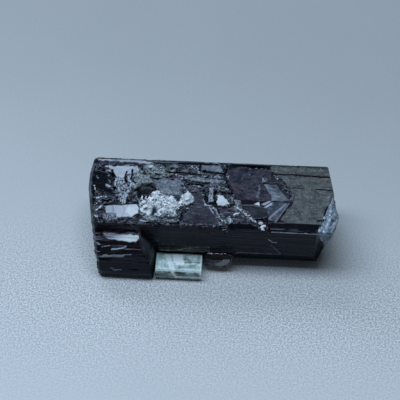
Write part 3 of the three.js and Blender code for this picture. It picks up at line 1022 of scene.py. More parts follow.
def closed_loft(name, x, points, masks):
    """A grid of cross-sections joined into one closed mesh, with an uneven break at each end."""
    sections = np.dstack([x, points])
    left, right = cap_rings(sections[0], -1, 60), cap_rings(sections[-1], 1, 59)
    rows = np.concatenate([left[::-1], sections, right])
    poles = [left[-1].mean(axis=0), right[-1].mean(axis=0)]
    flat = np.vstack([rows.reshape(-1, 3), poles])
    flat[:, 1] += FRONT_Y
    caps = ((CAP_RINGS, CAP_RINGS), (0, 0))
    values = {}
    for key, mask in masks.items():
        on_caps = 1.0 if key == "broken" else 0.0
        plain = np.pad(mask, caps, constant_values=on_caps)
        whole = np.pad(mask, caps, mode="edge") if key == "around" else plain
        values[key] = np.append(whole, [on_caps, on_caps])
    piece = new_piece(name, flat, tube_faces(len(rows), x.shape[1]), **values)
    facing_out(piece)
    return piece


def striation_tree():
    """Ribs along the crystal, and tilted etch facets where the surface is etched."""
    sizes = {
        "Rib pitch": 0.34 * MM,
        "Rib depth": 0.055 * MM,
        "Fine rib depth": 0.02 * MM,
        "Facet length": 1.0 * MM,
        "Facet width": 0.5 * MM,
        "Facet height": 0.17 * MM,
        "Facet slope": 0.16,
        "Break depth": 0.16 * MM,
    }
    tree = Growth("striated growth", sizes)
    x, y, z = tree.parts(tree.node("GeometryNodeInputPosition"))
    around = tree.attribute("around") * MM
    pitch = tree.size("Rib pitch")

    # Ribs: random in the direction around the crystal and almost unchanging along it.
    ribs_at = tree.combined(around / pitch, x / (pitch * 34), 0)
    coarse = tree.noise(ribs_at, 0.62, detail=1.0)
    sharp = 1 - abs(tree.noise(ribs_at, 1.15, roughness=0.6) * 2 - 1)
    fine = tree.noise(ribs_at, 4.2)
    ribs = (coarse - 0.5) * 1.4 + (sharp - 0.75) * 1.1
    rib_lift = ribs * tree.size("Rib depth") * 2 + (fine - 0.5) * tree.size("Fine rib depth") * 2
    side = tree.attribute("side")
    rib_lift = rib_lift * tree.attribute("ribbed") * (1 + side * 1.6)

    # Facets: each cell of a stretched pattern is a flat patch with its own height and slope.
    def facets(length, width, wobble):
        at = tree.combined(x / length, around / width, z * 0)
        cell, slope = tree.cells(tree.shaken(at, 0.9, wobble))
        return tree.parts(cell)[2] - 0.5, slope * width

    length, width = tree.size("Facet length"), tree.size("Facet width")
    height, steep = tree.size("Facet height"), tree.size("Facet slope")
    level, slope = facets(length, width, 1.1)
    small_level, small_slope = facets(length * 0.42, width * 0.5, 0.8)
    etch_lift = level * height + slope * steep * 2.6
    etch_lift = etch_lift + small_level * height * 0.35 + small_slope * steep * 2.2
    etch_lift = (etch_lift - height * 0.15) * tree.attribute("etched")

    # Broken ends and the side prism's break: shallow shells.
    chunk = tree.noise(tree.combined(x * 0.6, y, z), 1.0 / MM, roughness=0.6)
    break_lift = (chunk - 0.5) * 2 * tree.size("Break depth") * tree.attribute("broken")

    out = tree.node("GeometryNodeInputNormal")
    return tree.finish(tree.moved(tree.scaled(out, rib_lift + etch_lift + break_lift)))


def dark_tourmaline():
    """Almost black glassy stone: violet and grey growth plates, a satin film, pale stains, and
    painted reflections, glints and shade.
    """
    stone = Surface("dark tourmaline")
    masks = [stone.attribute(name) for name in TopFace.CHANNELS]
    etched, pale, violet, film, slate, dark, granular = masks
    lit_shelf, broken, spur = (stone.attribute(n) for n in ("lit_shelf", "broken", "spur"))

    streak = stone.noise(2.6, stretch=(0.12, 1, 1), detail=4)
    cloud = stone.noise(0.35, detail=3, seed=2)
    haze = stone.noise(0.9, stretch=(0.7, 1, 1), detail=3, seed=4)
    speck = stone.noise(7.5, detail=2, seed=5)
    grain = stone.noise(4.2, stretch=(0.6, 1, 1), detail=4, roughness=0.7, seed=7)
    patch = stone.noise(1.6, stretch=(0.5, 1, 1), detail=4, roughness=0.62, seed=21)
    cells = stone.crackle(1.7, (2.0, 0.75, 0.75), 1.5, 0.13)
    mottle = stone.noise(2.8, stretch=(0.6, 1, 1), detail=4, roughness=0.72, seed=41)
    grit = stone.crackle(3.6, (0.8, 1, 1), 0.9, 0.3, seed=3.0)
    flash = stone.noise(3.2, stretch=(0.6, 1, 1), detail=2, seed=31)

    # The stone itself: black, with a reddish and a greenish depth, violet on its growth plates.
    body = stone.blend(cloud.rise(0.42, 0.58), rgb(0.006, 0.009, 0.011), rgb(0.012, 0.008, 0.011))
    body = stone.blend(spur * 0.8, body, rgb(0.095, 0.095, 0.068))
    plate = stone.blend(haze.rise(0.3, 0.7), rgb(0.020, 0.022, 0.034), rgb(0.068, 0.057, 0.072))
    body = stone.blend(violet.least(1.0), body, plate)
    grey = stone.blend(haze.rise(0.35, 0.65), rgb(0.030, 0.035, 0.043), rgb(0.062, 0.068, 0.076))
    body = stone.blend((slate * 0.5).least(1.0), body, stone.scaled(grey, slate.most(1.0)))
    silk = streak.rise(0.35, 0.65)
    satin = stone.blend(silk, rgb(0.066, 0.070, 0.064), rgb(0.104, 0.106, 0.094))
    satin = stone.blend(patch.rise(0.5, 0.62) * 0.6, satin, rgb(0.036, 0.034, 0.038))
    satin = stone.blend(grain.rise(0.56, 0.66) * 0.6, satin, rgb(0.17, 0.18, 0.17))
    film_edge = (film + (grain - 0.5) * 0.5).rise(0.3, 0.8)
    body = stone.blend(film_edge, body, satin)
    body = stone.scaled(body, mottle.rise(0.32, 0.68, 0.55, 1.5))

    # Etched ground: grey patches between dark cracks, with painted glints and sparkles.
    ground = etched * patch.rise(0.5, 0.6) * cells
    body = stone.blend(ground * 0.8, body, rgb(0.085, 0.10, 0.115))
    glint = etched * (patch * 0.8 + grain * 0.2).rise(0.55, 0.59) * cells
    body = stone.blend(glint * 0.9, body, rgb(0.34, 0.375, 0.40))
    sparkle = etched * flash.rise(0.61, 0.66) * cells
    body = stone.blend(sparkle * 0.95, body, rgb(0.70, 0.74, 0.76))
    dusty = (granular + (patch - 0.5) * 1.8).rise(0.25, 1.1) * granular.rise(0.05, 0.3)
    dust = stone.blend(grain.rise(0.42, 0.62), rgb(0.13, 0.165, 0.165), rgb(0.60, 0.66, 0.63))
    body = stone.blend(dusty * grit.rise(0, 1, 0.25, 1), body, dust)

    fracture = broken * (patch * 0.5 + streak * 0.5).rise(0.45, 0.6)
    body = stone.blend(fracture * 0.7, body, rgb(0.07, 0.077, 0.084))

    # Pale skins, and painted reflections and highlights, broken up by cracks where the ground is
    # etched.
    whole = 1 - etched * (1 - cells) * 1.2
    white = ((pale + (grain - 0.5) * 0.55) * whole).rise(0.34, 0.72) * pale.rise(0.0, 0.25)
    skin = stone.blend(pale.rise(0.75, 1.2), rgb(0.37, 0.40, 0.455), rgb(0.80, 0.82, 0.84))
    skin = stone.blend(haze.rise(0.42, 0.65) * 0.4, skin, rgb(0.24, 0.275, 0.34))
    body = stone.blend(white * 0.92, body, skin)
    # Painted highlight: the side prism's shelf is coloured pale, brighter to the right, as the
    # overhead lamp's reflection.
    shelf_highlight = (lit_shelf + (streak - 0.5) * 2.0).rise(0.35, 0.8) * lit_shelf.rise(0.05, 0.3)
    ledge = stone.blend(lit_shelf.rise(0.5, 1.0), rgb(0.32, 0.35, 0.37), rgb(0.78, 0.83, 0.81))
    body = stone.blend(shelf_highlight * 0.95, body, ledge)
    dusted = patch.rise(0.42, 0.58, 0.25, 1)
    light_specks = speck.rise(0.59, 0.69) * (film * dusted * 0.85 + violet * 0.3 + etched * 0.25)
    body = stone.blend(light_specks, body, rgb(0.36, 0.38, 0.385))
    # Dark cracks and hollows; the hollow by the crust and the undercut foot of the front face are
    # painted dark as shade.
    body = stone.blend(dark * 0.92 * (1 - white), body, rgb(0.004, 0.0045, 0.007))

    rough = 0.13 + film_edge * 0.22 + white * 0.22 + broken * 0.2 + dusty * 0.25
    rough = rough + grain.rise(0.4, 0.8) * 0.1 * etched
    ripples = stone.noise(5.0, stretch=(0.05, 1, 1), detail=3, seed=9)
    pits = stone.noise(7.0, stretch=(0.7, 1, 1), detail=3, roughness=0.65, seed=11)
    ribbed = stone.attribute("ribbed")
    pitted = 0.06 + etched * 0.15 + film * 0.3 + broken * 0.5
    lumps = stone.noise(2.4, stretch=(0.6, 1, 1), detail=2, seed=13)
    relief = ripples * (0.04 + ribbed * 0.5) + pits * pitted + lumps * etched * 1.6
    bumped = stone.bump(relief, 0.05, 0.9)
    shader = stone.principled(
        Base_Color=body,
        Roughness=rough,
        Normal=bumped,
        IOR=TOURMALINE_IOR,
        Specular_IOR_Level=0.165,
        Specular_Tint=rgb(0.84, 0.80, 1.0),
    )
    return stone.finish(shader)


# ---- Crusts, chips and the small crystals ------------------------------------------------------
END_CRUST_MESH = 0.075  # how finely the copies of these solids are meshed
SMOKY_MESH = 0.07
FULL_TURN = 6.3  # radians


def remeshed(node, voxel):
    """An evenly meshed copy of a solid, to carry a fine surface."""
    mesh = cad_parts[node].data.copy()
    mesh.materials.clear()
    work = bmesh.new()
    work.from_mesh(mesh)
    bmesh.ops.remove_doubles(work, verts=work.verts, dist=0.001 * MM)
    work.to_mesh(mesh)
    work.free()
    piece = linked(node, mesh)
    modifier = piece.modifiers.new("even mesh", "REMESH")
    modifier.mode = "VOXEL"
    modifier.voxel_size = voxel * MM
    keep_modified(piece, modifier)
    return piece


def on_top(x, across, height=0.0):
    """A place on the top face or above it, as a point in the frame."""
    y, z = top_point(across)
    lift = (-height * math.sin(TOP_TILT), height * math.cos(TOP_TILT))
    return np.array([x, y + lift[0] + FRONT_Y, z + lift[1]])


def grain(tree):
    """One angular grain, about one unit across."""
    ball = tree.node("GeometryNodeMeshIcoSphere", None, {"Radius": 0.5, "Subdivisions": 1})
    at = tree.node("GeometryNodeInputPosition")
    wander = tree.node("ShaderNodeTexNoise", None, {"Vector": at, "Scale": 2.3}, out="Color")
    off = tree.scaled(tree.vector("SUBTRACT", wander, (0.5, 0.5, 0.5)), 1.1)
    return tree.node("GeometryNodeSetPosition", None, {"Geometry": ball, "Offset": off})


def scattered(tree, points, small, large):
    """Grains of random sizes and turns on points; `size` on the points scales them."""
    seed = tree.size("Seed")
    turn = tree.random((0, 0, 0), (FULL_TURN, FULL_TURN, FULL_TURN), seed)
    spread = tree.random((1, 0.6, 0.36), (1.4, 1, 0.6), seed + 1)
    size = tree.random(0.0, 1.0, seed + 2) ** 2.2 * (large - small) + small
    size = size * tree.attribute("size")
    values = {
        "Points": points,
        "Instance": grain(tree),
        "Rotation": turn,
        "Scale": tree.scaled(spread, size),
    }
    grains = tree.node("GeometryNodeInstanceOnPoints", None, values)
    shade = tree.random(0.35, 1.0, seed + 3)
    values = {"Geometry": grains, "Name": "shade", "Value": shade}
    settings = {"data_type": "FLOAT", "domain": "INSTANCE"}
    return tree.node("GeometryNodeStoreNamedAttribute", settings, values)


def crust_tree():
    """Angular grains packed over the upper faces of a crust, which stays under them."""
    sizes = {"Smallest grain": 0.08 * MM, "Largest grain": 0.4 * MM, "Grains per metre": 6e7}
    tree = Growth("granular crust", sizes)
    values = {
        "Mesh": tree.mesh,
        "Density": tree.size("Grains per metre") * tree.attribute("grainy"),
        "Seed": tree.size("Seed"),
    }
    points = tree.node("GeometryNodeDistributePointsOnFaces", None, values)
    grains = scattered(tree, points, tree.size("Smallest grain"), tree.size("Largest grain"))
    joined = tree.node("GeometryNodeJoinGeometry", None, {"Geometry": tree.mesh})
    tree.tree.links.new(grains.socket, joined.socket.node.inputs["Geometry"])
    return tree.finish(joined)


CRUST_OUTLINE = [
    (-9.2, 5.9), (-7.3, 5.75), (-5.6, 5.4), (-3.6, 5.3), (-2.5, 4.4), (-2.5, 3.3), (-3.6, 2.1),
    (-4.3, 1.0), (-7.0, 0.95), (-8.4, 1.9), (-9.0, 3.4),
]
CRUST_RINGS, CRUST_SIDES = 26, 96
CRUST_UNDERSIDE = -0.5  # below the top face
CRUST_LOWEST = -0.47
# The brightest, thickest places of the crust: x, across and how far each reaches.
BRIGHT_SPOTS = [
    (-7.9, 3.0, 0.7), (-8.0, 1.9, 0.75), (-7.0, 4.6, 0.5), (-6.3, 3.7, 0.9), (-5.3, 3.2, 0.8),
    (-4.3, 3.0, 0.5), (-3.0, 4.1, 0.7), (-3.1, 4.9, 0.55), (-2.8, 3.8, 0.5), (-5.9, 1.9, 0.3),
    (-4.6, 1.8, 0.4),
]
# The hollow is painted black, in the crust and on the top face, as the shade in it.
PIT = (-8.05, 5.0)  # the black hollow in the crust's back corner
FINS = [(-8.45, 3.8), (-8.0, 3.7), (-7.55, 3.8)]  # thin light ribs down its near side


def feldspar():
    """White and bluish granular stone: each grain has its own tone, and the bed is painted dark
    as the shade between the grains.
    """
    stone = Surface("feldspar")
    shade = stone.attribute("shade")
    tone = stone.noise(1.3, detail=3, seed=3)
    dirt = stone.noise(4.4, detail=3, roughness=0.65, seed=8)
    light = (shade + (tone - 0.5) * 1.6 - dirt.rise(0.54, 0.66) * 0.6).rise(0.1, 0.9)
    low = stone.blend(light.rise(0.0, 0.35), rgb(0.008, 0.009, 0.013), rgb(0.30, 0.34, 0.38))
    body = stone.blend(light.rise(0.3, 0.75), low, rgb(0.92, 0.93, 0.94))
    bumped = stone.bump(stone.noise(9, detail=3, roughness=0.7), 0.03, 0.7)
    shader = stone.principled(
        Base_Color=body,
        Roughness=0.08 + light.rise(0.0, 0.25) * dirt.rise(0.3, 0.6, 0.17, 0.42),
        Normal=bumped,
        IOR=FELDSPAR_IOR,
        Specular_IOR_Level=0.1,
        Subsurface_Weight=0.1,
        Subsurface_Radius=(0.5 * MM, 0.55 * MM, 0.6 * MM),
        Subsurface_Scale=1.0,
    )
    return stone.finish(shader)


def crust_rim():
    """Evenly counted points round the crust's outline."""
    outline = np.array(CRUST_OUTLINE + CRUST_OUTLINE[:1])
    steps = np.linspace(0, len(CRUST_OUTLINE), CRUST_SIDES, endpoint=False)
    corner = steps.astype(int)
    share = (steps - corner)[:, None]
    return outline[corner] + (outline[corner + 1] - outline[corner]) * share


def crust_faces():
    """Quads between the crust's rings, a fan to its middle, its side wall and its underside."""
    faces = []
    for ring in range(CRUST_RINGS - 1):
        for k in range(CRUST_SIDES):
            a, b = ring * CRUST_SIDES + k, ring * CRUST_SIDES + (k + 1) % CRUST_SIDES
            faces.append([a, b, b + CRUST_SIDES, a + CRUST_SIDES])
    last = (CRUST_RINGS - 1) * CRUST_SIDES
    middle = last + CRUST_SIDES
    below = middle + 1
    for k in range(CRUST_SIDES):
        n = (k + 1) % CRUST_SIDES
        faces.append([last + k, last + n, middle])
        faces.append([n, k, below + k, below + n])
        faces.append([below + n, below + k, below + CRUST_SIDES])
    return faces


def build_feldspar_crust(material):
    """A lumpy bed in the top face's hollow, with loose angular grains where it is thick."""
    rim = crust_rim()
    centre = rim.mean(axis=0)
    inwards = np.arange(CRUST_RINGS) / CRUST_RINGS
    rings = [centre + (rim - centre) * (1 - share) for share in inwards]
    x, across = np.vstack([*rings, centre]).T
    from_rim = np.append(np.repeat(inwards, CRUST_SIDES), 1.0)
    shaded_pit = np.exp(-(((x - PIT[0]) ** 2 + (across - PIT[1]) ** 2) ** 2))
    thick = sum(
        np.exp(-(((x - sx) ** 2 + (across - sw) ** 2) / size**2)) for sx, sw, size in BRIGHT_SPOTS
    ) * (1 - shaded_pit)
    fins = sum(near_line(x, across, [(fx, 4.25), (fx, end)], 0.3) for fx, end in FINS)
    lumps = rough_hills(x * 1.4, across * 1.9, 70, 4)
    height = -0.28 + 0.36 * np.clip(thick, 0, 1) + 0.14 * lumps * (1 - shaded_pit)
    height += 0.1 * fins - 0.2 * shaded_pit
    height = np.clip(height, CRUST_LOWEST, -0.34 + 0.9 * from_rim)
    points = [on_top(*place) for place in zip(x, across, height)]
    points += [on_top(*place, CRUST_UNDERSIDE) for place in [*rim, centre]]

    thin = ease((1.5 - across) / 0.5) * ease((x + 8.0) / 0.5)  # the crust thins out to the front
    # The bed's value is low away from the thick spots: painted shade between the grains.
    shade = 0.2 + 0.75 * np.clip(thick, 0, 1.25) + 0.3 * lumps - 0.6 * thin
    # Painted shade: the crust is made black in the hollow; the fins stay light.
    shade = np.maximum(shade * (1 - shaded_pit) - 1.3 * shaded_pit, np.minimum(fins, 1) - 0.2)
    masks = {
        "grainy": (ease((thick - 0.12 - 0.5 * thin) / 0.5) * (from_rim > 0.04), 0.0),
        "size": (0.5 + 0.7 * np.clip(thick, 0, 1), 1.0),
        "shade": (shade, 0.2),
    }
    under = CRUST_SIDES + 1
    masks = {name: np.append(top, [low] * under) for name, (top, low) in masks.items()}
    piece = new_piece("feldspar_crust", points, crust_faces(), **masks)
    facing_out(piece)
    crust_tree().grow(piece, 3, material)
    creased(piece, 25)
    place(piece, "feldspar_crust", "feldspar")


def vein_tree():
    """Grains strung along lines: each line is a row of edges, with a size at its points."""
    sizes = {"Spacing": 0.1 * MM, "Spread": 0.2 * MM, "Smallest grain": 0.06 * MM}
    sizes["Largest grain"] = 0.26 * MM
    tree = Growth("grain vein", sizes)
    curve = tree.node("GeometryNodeMeshToCurve", None, {"Mesh": tree.mesh})
    values = {"Curve": curve, "Length": tree.size("Spacing")}
    strung = tree.node("GeometryNodeResampleCurve", {"mode": "LENGTH"}, values)
    astray = tree.random((-1, -1, -0.35), (1, 1, 0.1), tree.size("Seed") + 9)
    off = tree.scaled(astray, tree.size("Spread") * tree.attribute("size"))
    moved = tree.node("GeometryNodeSetPosition", None, {"Geometry": strung, "Offset": off})
    points = tree.node("GeometryNodeCurveToPoints", {"mode": "EVALUATED"}, {"Curve": moved})
    grains = scattered(tree, points, tree.size("Smallest grain"), tree.size("Largest grain"))
    return tree.finish(grains)


# Each vein of loose grains: its points on the top face as (x, across, size of its grains).
VEINS = [
    [(2.7, 3.5, 0.5), (3.6, 2.7, 0.7), (4.4, 1.9, 0.9), (5.0, 1.3, 0.8), (5.4, 0.7, 0.6)],
    [(0.7, 2.0, 0.5), (1.2, 1.2, 0.7), (1.9, 0.7, 0.7), (2.5, 1.0, 0.6), (3.0, 2.0, 0.5)],
    [(-4.4, 0.7, 0.7), (-3.5, 0.4, 0.7), (-2.6, 0.15, 0.5)],
    [(5.7, 1.0, 0.9), (6.0, 0.6, 1.3), (6.4, 0.3, 1.1), (6.3, -0.1, 1.0)],
    [(-9.9, 7.6, 0.6), (-9.0, 7.0, 0.8), (-8.3, 6.4, 0.8), (-8.9, 6.0, 0.7)],
    [(-8.8, 8.4, 0.6), (-7.9, 8.2, 0.7), (-7.0, 7.9, 0.6)],
    [(-6.6, 4.9, 0.7), (-5.6, 4.6, 0.7), (-4.4, 4.9, 0.5)],
    [(-3.6, 4.9, 0.5), (-2.5, 4.8, 0.6), (-2.3, 3.6, 0.5), (-3.2, 2.9, 0.6)],
    [(0.6, 4.8, 0.5), (1.4, 4.8, 0.6), (2.0, 3.2, 0.6), (0.8, 3.0, 0.5)],
    [(-14.0, 4.6, 0.4), (-13.4, 3.9, 0.5), (-13.5, 2.9, 0.5), (-13.1, 2.2, 0.4)],
    [(-9.0, 2.9, 0.4), (-8.6, 2.2, 0.5), (-8.7, 1.5, 0.4)],
]
# Larger white fragments: place on the top face, then length, width, thickness and a random seed.
SHARDS = [
    (-2.9, 4.45, 0.8, 0.75, 0.45, 1),
    (-3.0, 3.85, 0.9, 0.65, 0.4, 2),
    (5.9, 0.85, 0.65, 0.5, 0.4, 4),
    (6.35, 0.45, 0.6, 0.45, 0.35, 5),
    (6.05, 0.35, 0.5, 0.4, 0.3, 12),
    (6.15, 0.0, 0.45, 0.4, 0.3, 3),
    (-7.9, 2.45, 0.9, 0.8, 0.4, 6),
    (-8.1, 3.15, 0.75, 0.6, 0.4, 11),
    (-5.9, 3.7, 0.8, 0.5, 0.3, 7),
    (-5.2, 3.0, 0.7, 0.45, 0.3, 8),
    (4.45, 1.85, 0.4, 0.25, 0.2, 9),
    (-7.8, 8.35, 0.6, 0.25, 0.15, 10),
]


SHARD_CORNERS = 16
SHARD_SHADE = 0.95


def shard(middle, length, width, thickness, seed):
    """A broken fragment: the hull of points strewn over a squashed ball."""
    random = np.random.default_rng(seed)
    points = random.normal(size=(SHARD_CORNERS, 3))
    points /= np.linalg.norm(points, axis=1)[:, None]
    uneven = random.uniform(0.8, 1, (SHARD_CORNERS, 1))
    points *= np.array([length, width, thickness]) / 2 * uneven
    work = bmesh.new()
    for point in points:
        work.verts.new((point + middle) * MM)
    bmesh.ops.convex_hull(work, input=work.verts)
    loose = [vert for vert in work.verts if not vert.link_faces]
    bmesh.ops.delete(work, geom=loose, context="VERTS")
    bmesh.ops.recalc_face_normals(work, faces=work.faces)
    mesh = bpy.data.meshes.new("shard")
    work.to_mesh(mesh)
    work.free()
    return mesh


def build_chips(material):
    """The white veins and fragments on the top face, as one piece."""
    points, edges, sizes = [], [], []
    for vein in VEINS:
        for number, (x, across, scale) in enumerate(vein):
            if number:
                edges.append((len(points) - 1, len(points)))
            points.append(on_top(x, across, 0.02))
            sizes.append(scale)
    mesh = bpy.data.meshes.new("veins")
    mesh.from_pydata((np.array(points) * MM).tolist(), edges, [])
    store(mesh, size=sizes)
    piece = linked("white_veins", mesh)
    vein_tree().grow(piece, 5, material)
    joined = bmesh.new()
    joined.from_mesh(piece.data)
    grains = len(joined.verts)
    for x, across, length, width, thickness, seed in SHARDS:
        joined.from_mesh(shard(on_top(x, across, 0.08), length, width, thickness, seed))
    shade = joined.verts.layers.float["shade"]
    for vert in list(joined.verts)[grains:]:
        vert[shade] = SHARD_SHADE
    joined.to_mesh(piece.data)
    joined.free()
    creased(piece, 20)
    place(piece, None, "feldspar")


def flake_tree():
    """Thin flakes lifting off a crust, each a flat cell of its own height and tilt."""
    sizes = {"Flake length": 1.0 * MM, "Flake width": 0.36 * MM, "Flake height": 0.3 * MM}
    sizes["Unevenness"] = 0.6 * MM
    tree = Growth("flaky crust", sizes)
    x, y, z = tree.parts(tree.node("GeometryNodeInputPosition"))
    length, width = tree.size("Flake length"), tree.size("Flake width")
    at = tree.combined(x / width, (y - z * 0.5) / length, (z + y * 0.5) / length)
    cell, slope = tree.cells(tree.shaken(at, 0.8, 1.3))
    fine = tree.noise(at, 3.5, detail=3)
    level = tree.parts(cell)[0] - 0.75
    lift = (level * 0.9 + slope * 0.9 + (fine - 0.5) * 0.5) * tree.size("Flake height")
    out = tree.scaled(tree.node("GeometryNodeInputNormal"), lift)
    here = {"Vector": tree.node("GeometryNodeInputPosition"), "Scale": 0.9 / MM}
    waves = tree.node("ShaderNodeTexNoise", None, here, out="Color")
    waves = tree.vector("SUBTRACT", waves, (0.55, 0.5, 0.5))
    wander = tree.scaled(waves, tree.size("Unevenness"))
    return tree.finish(tree.moved(tree.vector("ADD", out, wander)))


def pale_mica():
    """Pale blue-grey flaky crust, silky along its flakes, with painted shade towards the back and
    along its right rim.
    """
    crust = Surface("pale flaky crust")
    streak = crust.noise(2.2, stretch=(1, 0.35, 0.35), detail=4, roughness=0.65)
    spot = crust.noise(3.0, detail=3, seed=4)
    body = crust.blend(streak.rise(0.35, 0.65), rgb(0.12, 0.155, 0.20), rgb(0.33, 0.40, 0.49))
    body = crust.blend(spot.rise(0.54, 0.64) * 0.85, body, rgb(0.66, 0.72, 0.78))
    x, y, _ = crust.parts(crust.place)
    # Painted shade: darker colours where the crust lies more than about half a millimetre back
    # along y.
    shade = crust.blend(spot.rise(0.54, 0.64), rgb(0.055, 0.058, 0.060), rgb(0.26, 0.30, 0.33))
    body = crust.blend((y + (spot - 0.5) * MM).rise(0.1 * MM, 0.9 * MM), body, shade)
    # Painted shadow along the right rim.
    body = crust.scaled(body, (x - y * 0.2).rise(14.1 * MM, 14.6 * MM, 1, 0.65))
    bumped = crust.bump(streak, 0.06, 0.9)
    shader = crust.principled(Base_Color=body, Roughness=0.42, Normal=bumped, IOR=MICA_IOR)
    return crust.finish(shader)


def build_end_crust():
    """The flaky crust on the right end."""
    piece = remeshed("end_crust", END_CRUST_MESH)
    flake_tree().grow(piece, 2, pale_mica())
    creased(piece, 28)
    place(piece, "end_crust", "pale_mica")


def clear_stone(name, clear, frosted, absorbed, density, frost):
    """See-through stone with frosted areas: `frost` gives the frosted share from a Surface."""
    stone = Surface(name)
    ripples = stone.noise(3.2, stretch=(0.06, 1, 1), detail=3)
    cloud = stone.noise(1.1, detail=4, roughness=0.65, seed=6)
    grit = stone.noise(4.6, stretch=(0.7, 1, 1), detail=3, roughness=0.7, seed=17)
    every = {"Normal": stone.bump(ripples, 0.05, 0.6), "IOR": TOURMALINE_IOR}
    glass = stone.principled(Base_Color=clear, Roughness=0.05, Transmission_Weight=1.0, **every)
    dull = stone.blend((cloud * 0.5 + grit * 0.5).rise(0.4, 0.6), *frosted)
    dull = stone.blend(stone.attribute("veil"), dull, rgb(0.84, 0.90, 0.89))
    skin = stone.principled(Base_Color=dull, Roughness=cloud.rise(0.3, 0.7, 0.2, 0.45), **every)
    values = {0: frost(stone, cloud), 1: glass, 2: skin}
    shader = stone.node("ShaderNodeMixShader", None, values)
    values = {"Color": absorbed, "Density": density}
    return stone.finish(shader, stone.node("ShaderNodeVolumeAbsorption", None, values))


GREEN_CORNERS = [
    (-2.45, 0), (-0.15, 0), (0.1, 0.8), (-0.15, 1.79), (-1.5, 1.68), (-2.5, 1.52), (-2.78, 1.2),
    (-2.8, 0.35),
]
GREEN_COUNTS = [6, 5, 5, 12, 10, 5, 9, 5]
GREEN_STATIONS = 60
GREEN_GIRTH = 8.6


def green_veil(x, y, z):
    """White fracture lines across the green crystal, a white flake and its light edges, among
    them a painted highlight along the top's back edge.
    """
    on_top, in_front = z > 1.35, y < -2.55
    flake = [(-4.75, -0.1), (-3.25, -0.2), (-3.1, -1.5), (-3.5, -1.9), (-4.1, -1.9)]
    veil = inside(x, y, flake, 0.2, 0.2, 233) * on_top
    # Lines: where they are, their points there, then their width, raggedness, seed and strength.
    for face, u, v, points, width, ragged, seed, strength in (
        (on_top, x, y, [(-5.6, 0.25), (-4.65, -2.2), (-4.3, -2.6)], 0.26, 0.05, 230, 1.0),
        (on_top, x, y, [(-5.3, 0.1), (-4.15, -2.6)], 0.26, 0.05, 230, 1.0),
        (in_front, x, z, [(-4.5, 1.6), (-3.9, 0.4)], 0.3, 0.05, 232, 1.0),
        (in_front, x, z, [(-3.9, 0.62), (-1.0, 0.62)], 0.24, 0.03, 234, 0.9),
        (in_front, x, z, [(-6.4, 1.42), (-1.0, 1.42)], 0.2, 0.03, 235, 0.6),
        # A painted highlight along the top's back edge.
        (on_top, x, y, [(-6.6, -0.2), (-1.0, -0.2)], 0.24, 0.04, 236, 0.8),
    ):
        veil = veil + near_line(u, v, points, width, ragged, seed) * face * strength
    return np.clip(veil + 0.6 * ease((x + 1.2) / 0.15), 0, 1)


def green_tourmaline():
    """Pale green clear stone, frosted in streaks along it and white on its fractures."""
    return clear_stone(
        "green tourmaline",
        rgb(0.80, 0.93, 0.88),
        (rgb(0.27, 0.42, 0.38), rgb(0.70, 0.81, 0.79)),
        rgb(0.10, 0.60, 0.45),
        280.0,
        lambda stone, cloud: (
            stone.attribute("frost")
            + stone.attribute("veil")
            + (cloud - 0.5) * 0.6
            + (stone.noise(3.4, stretch=(0.08, 1, 1), detail=3, seed=15) - 0.5) * 1.3
        ).rise(0.15, 0.75),
    )


def build_green_crystal():
    """A short clear prism, striated along its length, with fracture planes across it."""
    section = divided(GREEN_CORNERS + GREEN_CORNERS[:1], GREEN_COUNTS)
    columns = len(section)
    share = np.linspace(0, 1, GREEN_STATIONS)[:, None]
    left, right = green_low[0] + 0.02, green_high[0] - 0.05
    x = left + (right - left) * share - 0.03 * share * section[:, 1]
    middle = section.mean(axis=0)
    narrow = 1 - 0.02 * hills(x * 0.8, section[:, 0] * 0.5 + x * 0, 80)
    rows = np.dstack([x, middle + (section - middle) * narrow[..., None]])
    points = np.vstack([rows.reshape(-1, 3), rows[0].mean(axis=0), rows[-1].mean(axis=0)])
    x, y, z = points.T
    left_part = ease((-3.4 + 0.4 * (y + 1.5) - x) / 0.25)
    top = ease((z - 1.38) / 0.12)
    around = np.tile(np.linspace(0, GREEN_GIRTH, columns), GREEN_STATIONS)
    ribbed = np.tile(section[:, 1] > 0.02, GREEN_STATIONS) * 0.4
    masks = {
        "around": np.append(around, [0, 0]),
        "ribbed": np.append(ribbed, [0, 0]),
        "frost": 0.33 + top * (0.22 + 0.5 * left_part) + 0.1 * ease((x + 3.6) / 1.5),
        "veil": green_veil(x, y, z),
        **{name: np.zeros(len(points)) for name in ("side", "etched", "broken")},
    }
    points[:, 1] += FRONT_Y
    faces = tube_faces(GREEN_STATIONS, columns)
    piece = new_piece("green_crystal", points, faces, **masks)
    facing_out(piece)
    striation_tree().grow(piece, 11, green_tourmaline())
    creased(piece, 30)
    place(piece, "green_crystal", "green_tourmaline")


# Fracture planes in the green crystal: where each starts, how far it leans and its width.
FRACTURES = [(-5.35, 0.55, 2.3), (-4.75, 0.75, 2.2), (-4.2, 0.4, 2.0)]
FRACTURE_STEPS = 9
FRACTURE_THICKNESS = 0.02


def fracture_veil():
    """A patchy white film."""
    veil = Surface("fracture veil")
    patchy = veil.noise(1.5, detail=4, roughness=0.7).rise(0.4, 0.62, 0.15, 0.9)
    shader = veil.principled(Base_Color=rgb(0.72, 0.80, 0.82), Roughness=0.35, Alpha=patchy)
    return veil.finish(shader)


def fracture_faces(base):
    """A thin curved sheet: its two sides, and the rim that joins them."""
    steps, layer = FRACTURE_STEPS, FRACTURE_STEPS**2
    faces = []
    for i in range(steps - 1):
        for j in range(steps - 1):
            a = base + i * steps + j
            quad = [a, a + 1, a + steps + 1, a + steps]
            faces.append(quad)
            faces.append([corner + layer for corner in reversed(quad)])
    rim = [i * steps for i in range(steps)] + [(steps - 1) * steps + j for j in range(1, steps)]
    rim += [i * steps + steps - 1 for i in range(steps - 2, -1, -1)]
    rim += list(range(steps - 2, 0, -1))
    for a, b in zip(rim, rim[1:] + rim[:1]):
        faces.append([base + b, base + a, base + a + layer, base + b + layer])
    return faces


